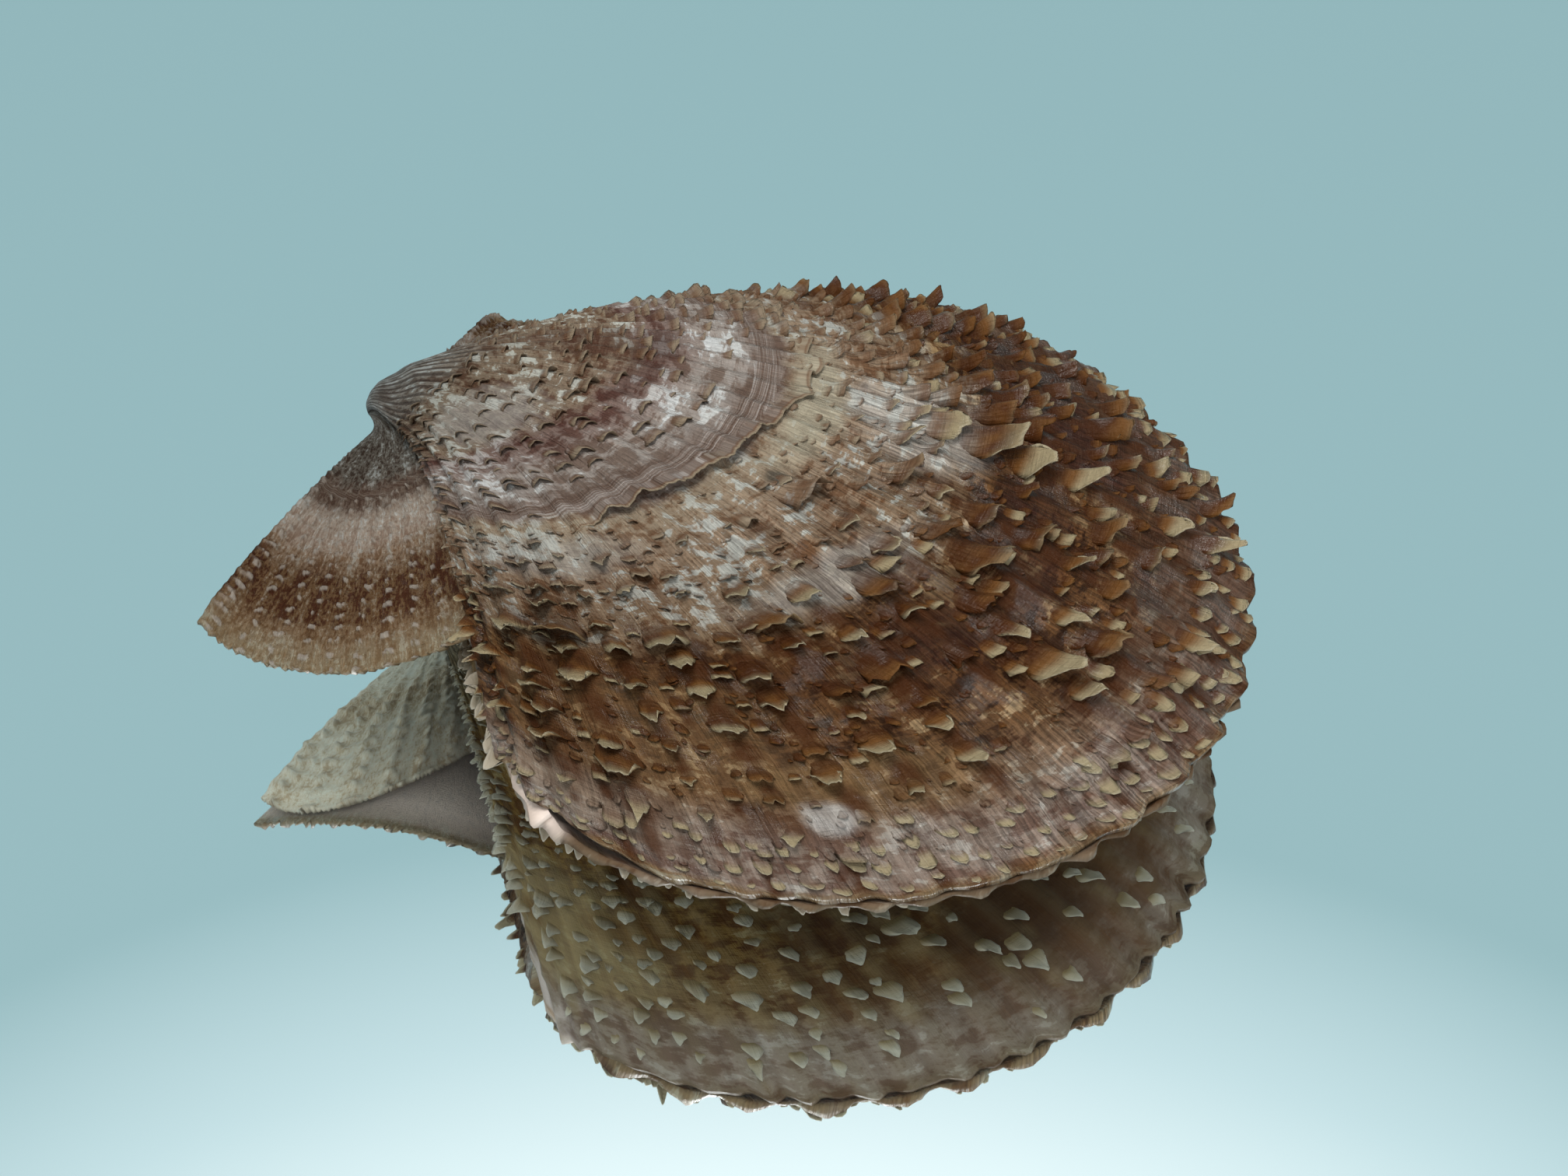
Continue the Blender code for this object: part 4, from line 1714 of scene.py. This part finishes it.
UPPER_FINISH = ShellFinish(
    name="mottled_shell",
    disc=(
        Band(0.00, (0.120, 0.105, 0.090), (0.25, 0.24, 0.22), (0.42, 0.42, 0.40), 0.52),
        Band(0.12, (0.110, 0.070, 0.048), (0.23, 0.19, 0.150), (0.42, 0.42, 0.38), 0.52),
        Band(0.17, (0.110, 0.058, 0.034), (0.23, 0.17, 0.115), (0.47, 0.46, 0.39), 0.53),
        Band(0.30, (0.110, 0.056, 0.034), (0.22, 0.16, 0.110), (0.47, 0.46, 0.40), 0.52),
        Band(0.325, (0.080, 0.034, 0.026), (0.185, 0.120, 0.098), (0.42, 0.37, 0.34), 0.50),
        Band(0.355, (0.110, 0.060, 0.046), (0.220, 0.160, 0.135), (0.44, 0.41, 0.38), 0.52),
        Band(0.385, (0.160, 0.112, 0.087), (0.31, 0.265, 0.23), (0.56, 0.56, 0.54), 0.57),
        Band(0.425, (0.155, 0.112, 0.088), (0.28, 0.240, 0.21), (0.50, 0.49, 0.46), 0.54),
        Band(0.440, (0.110, 0.070, 0.052), (0.185, 0.140, 0.115), (0.31, 0.265, 0.235), 0.49),
        Band(0.468, (0.110, 0.070, 0.052), (0.185, 0.140, 0.115), (0.31, 0.265, 0.235), 0.49),
        Band(0.485, (0.160, 0.098, 0.058), (0.270, 0.210, 0.145), (0.38, 0.365, 0.31), 0.54),
        Band(0.550, (0.130, 0.072, 0.040), (0.245, 0.175, 0.118), (0.385, 0.38, 0.34), 0.53),
        Band(0.600, (0.105, 0.052, 0.026), (0.205, 0.140, 0.090), (0.375, 0.37, 0.325), 0.53),
        Band(0.665, (0.095, 0.045, 0.020), (0.200, 0.138, 0.085), (0.365, 0.35, 0.30), 0.52),
        Band(0.705, (0.024, 0.008, 0.003), (0.105, 0.048, 0.017), (0.28, 0.180, 0.085), 0.505),
        Band(0.800, (0.020, 0.007, 0.003), (0.095, 0.040, 0.014), (0.26, 0.165, 0.080), 0.485),
        Band(0.875, (0.026, 0.010, 0.005), (0.110, 0.055, 0.024), (0.28, 0.195, 0.110), 0.500),
        Band(0.915, (0.080, 0.038, 0.020), (0.170, 0.110, 0.070), (0.28, 0.235, 0.180), 0.50),
        Band(0.945, (0.115, 0.072, 0.055), (0.215, 0.168, 0.135), (0.33, 0.295, 0.255), 0.52),
        Band(0.985, (0.118, 0.070, 0.053), (0.205, 0.155, 0.125), (0.32, 0.285, 0.245), 0.50),
        Band(0.997, (0.105, 0.048, 0.018), (0.190, 0.120, 0.060), (0.30, 0.240, 0.155), 0.50),
    ),
    ear=(
        Band(0.00, (0.070, 0.050, 0.038), (0.190, 0.165, 0.132), (0.42, 0.42, 0.385), 0.51),
        Band(0.39, (0.070, 0.046, 0.034), (0.190, 0.165, 0.132), (0.42, 0.42, 0.385), 0.51),
        Band(0.44, (0.110, 0.063, 0.045), (0.200, 0.145, 0.108), (0.30, 0.25, 0.205), 0.47),
        Band(0.50, (0.113, 0.068, 0.048), (0.200, 0.145, 0.108), (0.30, 0.25, 0.205), 0.49),
        Band(0.54, (0.33, 0.240, 0.180), (0.450, 0.370, 0.295), (0.56, 0.54, 0.49), 0.53),
        Band(0.63, (0.32, 0.225, 0.165), (0.440, 0.355, 0.280), (0.54, 0.52, 0.47), 0.53),
        Band(0.68, (0.18, 0.100, 0.052), (0.300, 0.210, 0.140), (0.42, 0.37, 0.30), 0.49),
        Band(0.75, (0.068, 0.024, 0.012), (0.160, 0.090, 0.043), (0.27, 0.20, 0.135), 0.46),
        Band(0.87, (0.072, 0.026, 0.013), (0.160, 0.090, 0.043), (0.27, 0.20, 0.135), 0.46),
        Band(0.91, (0.150, 0.080, 0.037), (0.240, 0.155, 0.088), (0.33, 0.26, 0.18), 0.50),
        Band(0.96, (0.205, 0.130, 0.068), (0.270, 0.200, 0.122), (0.36, 0.31, 0.22), 0.54),
        Band(1.00, (0.220, 0.140, 0.070), (0.280, 0.205, 0.120), (0.37, 0.32, 0.22), 0.54),
    ),
    patches=(
        Patch(0.515, 0.55, 0.032, 0.11, (0.37, 0.335, 0.245), 0.65),
        Patch(0.620, 0.565, 0.080, 0.050, (0.43, 0.42, 0.385), 0.50),
        Patch(0.655, 0.385, 0.030, 0.070, (0.38, 0.375, 0.34), 0.45),
        Patch(0.535, 0.20, 0.040, 0.080, (0.38, 0.375, 0.34), 0.40),
        Patch(0.250, 0.27, 0.060, 0.120, (0.46, 0.44, 0.40), 0.40),
        Patch(0.270, 0.57, 0.110, 0.055, (0.065, 0.028, 0.020), 0.55),
        Patch(0.335, 0.52, 0.022, 0.100, (0.055, 0.022, 0.016), 0.50),
        Patch(0.530, 0.428, 0.016, 0.009, (0.055, 0.048, 0.038), 0.80),
        Patch(0.755, 0.45, 0.055, 0.160, (0.028, 0.010, 0.007), 0.70),
        Patch(0.840, 0.68, 0.120, 0.140, (0.027, 0.010, 0.006), 0.78),
        Patch(0.800, 0.19, 0.100, 0.110, (0.240, 0.150, 0.072), 0.30),
        Patch(0.730, 0.33, 0.030, 0.090, (0.048, 0.016, 0.005), 0.45),
        Patch(0.800, 0.63, 0.090, 0.060, (0.036, 0.013, 0.009), 0.75),
        Patch(0.890, 0.50, 0.035, 0.070, (0.040, 0.016, 0.012), 0.50),
        Patch(0.880, 0.30, 0.045, 0.060, (0.220, 0.135, 0.060), 0.45),
        Patch(0.950, 0.64, 0.080, 0.200, (0.052, 0.022, 0.011), 0.84),
        Patch(0.930, 0.15, 0.045, 0.060, (0.230, 0.175, 0.130), 0.55),
        Patch(0.915, 0.272, 0.022, 0.014, (0.42, 0.40, 0.37), 0.75),
    ),
    scale_foot=(0.048, 0.014, 0.004),
    scale_body=(0.155, 0.066, 0.018),
    scale_deep=(0.072, 0.022, 0.006),
    scale_young=(0.125, 0.062, 0.032),
    scale_young_lip=(0.250, 0.190, 0.128),
    scale_lip=(0.290, 0.232, 0.135),
    scale_pale_edge_and_glow=(0.41, 0.355, 0.245),
    crest_tint=(0.070, 0.026, 0.006),
    crest_share=0.15,
    nodule=(0.42, 0.36, 0.30),
    share=0.75,
    late_share=0.15,
    hollow=0.38,
    pocket=0.85,
    threads=0.55,
    grain=0.40 * MM,
    # The inside's pale pink, brightened past the shell's own tone to stand in for light through the thin ear:
    # partly painted light.
    lining=(0.96, 0.75, 0.62),
    roughness=(0.12, 0.46),
    coat=0.80,
    gloss=0.13,
)

LOWER_FINISH = ShellFinish(
    name="pale_scaled_shell",
    disc=(
        Band(0.00, (0.106, 0.067, 0.030), (0.138, 0.096, 0.050), (0.213, 0.174, 0.118), 0.52),
        Band(0.25, (0.080, 0.040, 0.012), (0.122, 0.077, 0.033), (0.190, 0.140, 0.081), 0.50),
        Band(0.45, (0.066, 0.022, 0.002), (0.150, 0.078, 0.018), (0.235, 0.165, 0.070), 0.46),
        Band(0.62, (0.060, 0.020, 0.002), (0.145, 0.074, 0.016), (0.235, 0.165, 0.070), 0.45),
        Band(0.80, (0.060, 0.020, 0.003), (0.148, 0.078, 0.020), (0.235, 0.168, 0.076), 0.46),
        Band(0.895, (0.078, 0.032, 0.009), (0.155, 0.092, 0.038), (0.240, 0.180, 0.105), 0.47),
        Band(0.930, (0.112, 0.068, 0.044), (0.190, 0.140, 0.104), (0.270, 0.220, 0.178), 0.52),
        Band(0.985, (0.118, 0.070, 0.047), (0.190, 0.138, 0.102), (0.270, 0.216, 0.172), 0.52),
        Band(0.997, (0.076, 0.039, 0.019), (0.129, 0.086, 0.052), (0.219, 0.174, 0.122), 0.50),
    ),
    ear=(
        Band(0.00, (0.434, 0.350, 0.238), (0.560, 0.490, 0.364), (0.602, 0.560, 0.448), 0.52),
        Band(0.42, (0.448, 0.364, 0.252), (0.588, 0.525, 0.399), (0.616, 0.581, 0.476), 0.54),
        Band(0.55, (0.308, 0.203, 0.112), (0.490, 0.385, 0.259), (0.588, 0.518, 0.399), 0.50),
        Band(0.70, (0.448, 0.350, 0.231), (0.588, 0.504, 0.378), (0.616, 0.574, 0.469), 0.54),
        Band(1.00, (0.420, 0.301, 0.189), (0.574, 0.483, 0.357), (0.609, 0.553, 0.434), 0.54),
    ),
    patches=(
        Patch(0.895, 0.48, 0.085, 0.130, (0.075, 0.026, 0.005), 0.80),
        Patch(0.720, 0.66, 0.260, 0.220, (0.066, 0.026, 0.006), 0.60),
        Patch(0.800, 0.37, 0.060, 0.050, (0.034, 0.010, 0.003), 0.75),
        Patch(0.880, 0.45, 0.055, 0.050, (0.030, 0.010, 0.004), 0.70),
        Patch(0.880, 0.35, 0.030, 0.035, (0.062, 0.022, 0.004), 0.60),
        Patch(0.800, 0.19, 0.130, 0.080, (0.270, 0.200, 0.100), 0.55),
        Patch(0.790, 0.26, 0.035, 0.040, (0.085, 0.032, 0.003), 0.60),
        Patch(0.820, 0.17, 0.025, 0.025, (0.085, 0.032, 0.003), 0.60),
        Patch(0.975, 0.13, 0.055, 0.055, (0.46, 0.37, 0.32), 0.95),
        Patch(1.000, 0.15, 0.020, 0.030, (0.26, 0.13, 0.04), 0.80),
    ),
    scale_foot=(0.190, 0.128, 0.056),
    scale_body=(0.350, 0.292, 0.200),
    scale_deep=(0.320, 0.255, 0.165),
    scale_young=(0.335, 0.277, 0.187),
    scale_young_lip=(0.390, 0.335, 0.250),
    scale_lip=(0.410, 0.355, 0.270),
    scale_pale_edge_and_glow=(0.440, 0.390, 0.305),
    crest_tint=(0.119, 0.087, 0.045),
    crest_share=0.20,
    nodule=(0.434, 0.378, 0.294),
    share=0.85,
    late_share=0.85,
    hollow=0.25,
    pocket=0.45,
    threads=0.05,
    grain=0.16 * MM,
    lining=(0.80, 0.68, 0.60),
    roughness=(0.24, 0.50),
    coat=0.0,
    gloss=0.08,
)


@dataclass(frozen=True)
class HornFinish:
    """Finish of the dark, fibrous ligament."""

    name: str = "ligament_horn"
    dark: Colour = (0.022, 0.013, 0.009)
    worn: Colour = (0.09, 0.055, 0.035)
    stretch: tuple[float, float, float] = (250.0, 1600.0, 1600.0)
    roughness: tuple[float, float] = (0.40, 0.65)
    relief: float = 0.1 * MM

    def build(self) -> bpy.types.Material:
        """Makes the material.

        Returns:
            The material.
        """
        material, kit, shader = start_material(self.name)
        place = kit.signal("ShaderNodeTexCoord", output="Object")
        stretched = kit.signal("ShaderNodeMapping", {"Vector": place, "Scale": self.stretch})
        fibres = kit.noise(stretched, 1.0, 4.0, 0.6)
        low, high = self.roughness
        bump = kit.signal("ShaderNodeBump", {"Height": fibres, "Strength": 0.6, "Distance": self.relief})
        kit.feed(shader, {
            "Base Color": kit.ramp(fibres, [(0.35, self.dark), (0.75, self.worn)]),
            "Roughness": kit.signal("ShaderNodeMapRange", {0: fibres, 3: low, 4: high}),
            "Normal": bump,
        })
        return material


@dataclass(frozen=True)
class PlateFinish:
    """Finish of the pale, mirror-like plate that the shell lies on."""

    name: str = "pale_glossy_plate"
    tint: Colour = (0.91, 0.98, 1.0)
    metallic: float = 0.995
    roughness: float = 0.02

    def build(self) -> bpy.types.Material:
        """Makes the material.

        Returns:
            The material.
        """
        material, kit, shader = start_material(self.name)
        kit.feed(shader, {"Base Color": self.tint, "Metallic": self.metallic, "Roughness": self.roughness})
        return material


@dataclass(frozen=True)
class Lamp:
    """A square soft lamp that faces the shell, and shows in glossy surfaces if it is shiny."""

    name: str
    place: tuple[float, float, float]
    size: float
    watts: float
    shiny: bool = True

    def build(self) -> None:
        """Hangs the lamp in the scene."""
        lamp = bpy.data.lights.new(self.name, "AREA")
        lamp.shape = "SQUARE"
        lamp.size = self.size
        lamp.energy = self.watts
        thing = bpy.data.objects.new(self.name, lamp)
        thing.location = self.place
        thing.visible_glossy = self.shiny
        thing.rotation_euler = (-Vector(self.place)).to_track_quat("-Z", "Y").to_euler()
        bpy.context.scene.collection.objects.link(thing)


@dataclass
class Studio:
    """The glossy pale plate that the shell lies on, soft lights, background and camera.

    azimuth, elevation and roll turn the camera, from_umbo is where it stands, and backdrop gives the
    background's colours by height. The tent's light is tent_light; the background shows brighter by
    shown_more, and the underside's reflected light by rebound_more.
    """

    floor_half: float = 1.5
    floor_drop: float = 0.02 * MM
    lamps: tuple[Lamp, ...] = (
        Lamp("overhead", (-0.14, -0.02, 0.55), 0.20, 2.4),
        Lamp("front", (-0.30, -0.45, 0.35), 0.40, 1.2, shiny=False),
    )
    azimuth: float = math.radians(60.68)
    elevation: float = math.radians(45.206)
    roll: float = math.radians(-0.622)
    from_umbo: tuple[float, float, float] = (-105.72 * MM, -93.78 * MM, 116.9 * MM)
    lens: float = 50.893
    sensor: float = 36.0
    near: float = 5 * MM
    tent_tint: Colour = (0.86, 0.95, 1.0)
    tent_light: float = 0.6
    shown_more: float = 0.4
    rebound_more: float = 0.60
    backdrop: tuple[tuple[float, Colour], ...] = (
        (0.45, (0.312, 0.474, 0.494)), (0.775, (0.350, 0.515, 0.535)), (0.83, (0.62, 0.77, 0.79)),
        (0.868, (0.90, 1.0, 1.0)), (0.89, (0.90, 1.0, 1.0)), (0.94, (0.375, 0.453, 0.465)),
    )

    def build_floor(self) -> None:
        """Lays a wide flat plate with a mirror-like gloss."""
        solid = bmesh.new()
        bmesh.ops.create_grid(solid, x_segments=1, y_segments=1, size=self.floor_half)
        mesh = bpy.data.meshes.new("studio_floor")
        solid.to_mesh(mesh)
        solid.free()
        floor = bpy.data.objects.new("studio_floor", mesh)
        bpy.context.scene.collection.objects.link(floor)
        mesh.materials.append(PlateFinish().build())
        floor.location.z = -self.floor_drop

    def build_world(self) -> None:
        """Plain soft light from all round, and a pale background for camera and gloss."""
        world = bpy.data.worlds.new("pale_tent")
        bpy.context.scene.world = world
        world.use_nodes = True
        kit = NodeKit(world.node_tree)
        path = kit.outputs(kit.add("ShaderNodeLightPath"))
        glossy, depth = path["Is Glossy Ray"], path["Diffuse Depth"]
        through = kit.math("MAXIMUM", glossy, path["Is Transmission Ray"])
        seen = kit.math("MAXIMUM", path["Is Camera Ray"], through) * kit.math("LESS_THAN", depth, 0.5)
        rebound = glossy * kit.math("GREATER_THAN", depth, 0.5)
        way = kit.signal("ShaderNodeTexCoord", output="Generated")
        backdrop = kit.ramp(kit.signal("ShaderNodeSeparateXYZ", {0: way}, output="Z"), self.backdrop)
        kit.feed(world.node_tree.nodes["Background"], {
            "Color": kit.mix(seen, self.tent_tint, backdrop),
            "Strength": seen * self.shown_more + rebound * self.rebound_more + self.tent_light,
        })

    def build_camera(self) -> None:
        """The camera, looking down past the front of the shell."""
        camera = bpy.data.cameras.new("camera")
        camera.lens = self.lens
        camera.sensor_width = self.sensor
        camera.clip_start = self.near
        thing = bpy.data.objects.new("camera", camera)
        turn = Matrix.Rotation(-self.azimuth, 4, "Z") @ Matrix.Rotation(math.pi / 2 - self.elevation, 4, "X")
        turn = turn @ Matrix.Rotation(self.roll, 4, "Z")
        thing.matrix_world = Matrix.Translation(Vector(UMBO_PLACE) + Vector(self.from_umbo)) @ turn
        bpy.context.scene.collection.objects.link(thing)
        bpy.context.scene.camera = thing

    def build(self) -> None:
        """Builds everything round the shell."""
        self.build_floor()
        self.build_world()
        for lamp in self.lamps:
            lamp.build()
        self.build_camera()
        bpy.context.scene.view_settings.view_transform = "Standard"


@dataclass
class Scallop:
    """The whole shell: both valves with their scales, and the ligament."""

    upper: UpperValve
    lower: LowerValve

    @staticmethod
    def dress(piece: bpy.types.Object, valve: Valve, material: bpy.types.Material) -> None:
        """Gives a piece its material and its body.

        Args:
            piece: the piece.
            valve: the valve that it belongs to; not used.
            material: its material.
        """
        piece.data.materials.append(material)
        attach(piece, "root")

    def build(self) -> list[bpy.types.Object]:
        """Builds and dresses every piece; the scales come first, as the shells take painted shade with dark
        stain under them.

        Returns:
            The pieces.
        """
        mottled, pale = UPPER_FINISH.build(), LOWER_FINISH.build()
        upper, lower = self.upper, self.lower
        upper_scales = [upper.build_large_scales(), upper.build_hoods(), upper.build_nubs()]
        upper_scales.append(upper.build_lip())
        lower_scales = lower.build_scales()
        upper_shell, lower_shell = upper.build_shell(), lower.build_shell()
        for piece in (upper_shell, *upper_scales):
            self.dress(piece, upper, mottled)
        for piece in (lower_shell, lower_scales):
            self.dress(piece, lower, pale)
        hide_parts(upper.node)
        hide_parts(lower.node)
        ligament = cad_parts["hinge_ligament"]
        ligament.data.materials.clear()
        ligament.data.materials.append(HornFinish().build())
        return [upper_shell, *upper_scales, lower_shell, lower_scales, ligament]


def main() -> None:
    """Builds the shell and the studio round it, and reports each piece."""
    logging.basicConfig(level=logging.INFO, format="%(message)s")
    left = GrowthSurface(
        Side.LEFT,
        Ear(hinge=0.390, reach=0.398, bulge=(0.402, 0.069)),
        Coil(spiral=0.363, curl=0.60, lean=3.8 * MM, overhang=1.6 * MM, swelling=1.2 * MM),
        lining_shift=1.3 * MM,
    )
    right = GrowthSurface(
        Side.RIGHT,
        Ear(hinge=0.369, reach=0.218, bulge=(0.410, 0.151)),
        Coil(spiral=0.107, bowl=0.362, lean=1.6 * MM),
        lining_shift=0.7 * MM,
    )
    strong = Ribs(count=25, first=0.077, spacing=0.0352, height=1.0 * MM, riblets=4, seed=5)
    fine = Ribs(count=38, first=0.077, spacing=0.0228, height=0.38 * MM, riblets=2, seed=8)
    for piece in Scallop(UpperValve(left, strong, seed=11), LowerValve(right, fine, seed=12)).build():
        LOG.info("%s: %d faces", piece.name, len(piece.data.polygons))
    Studio().build()


if __name__ == "__main__":
    main()
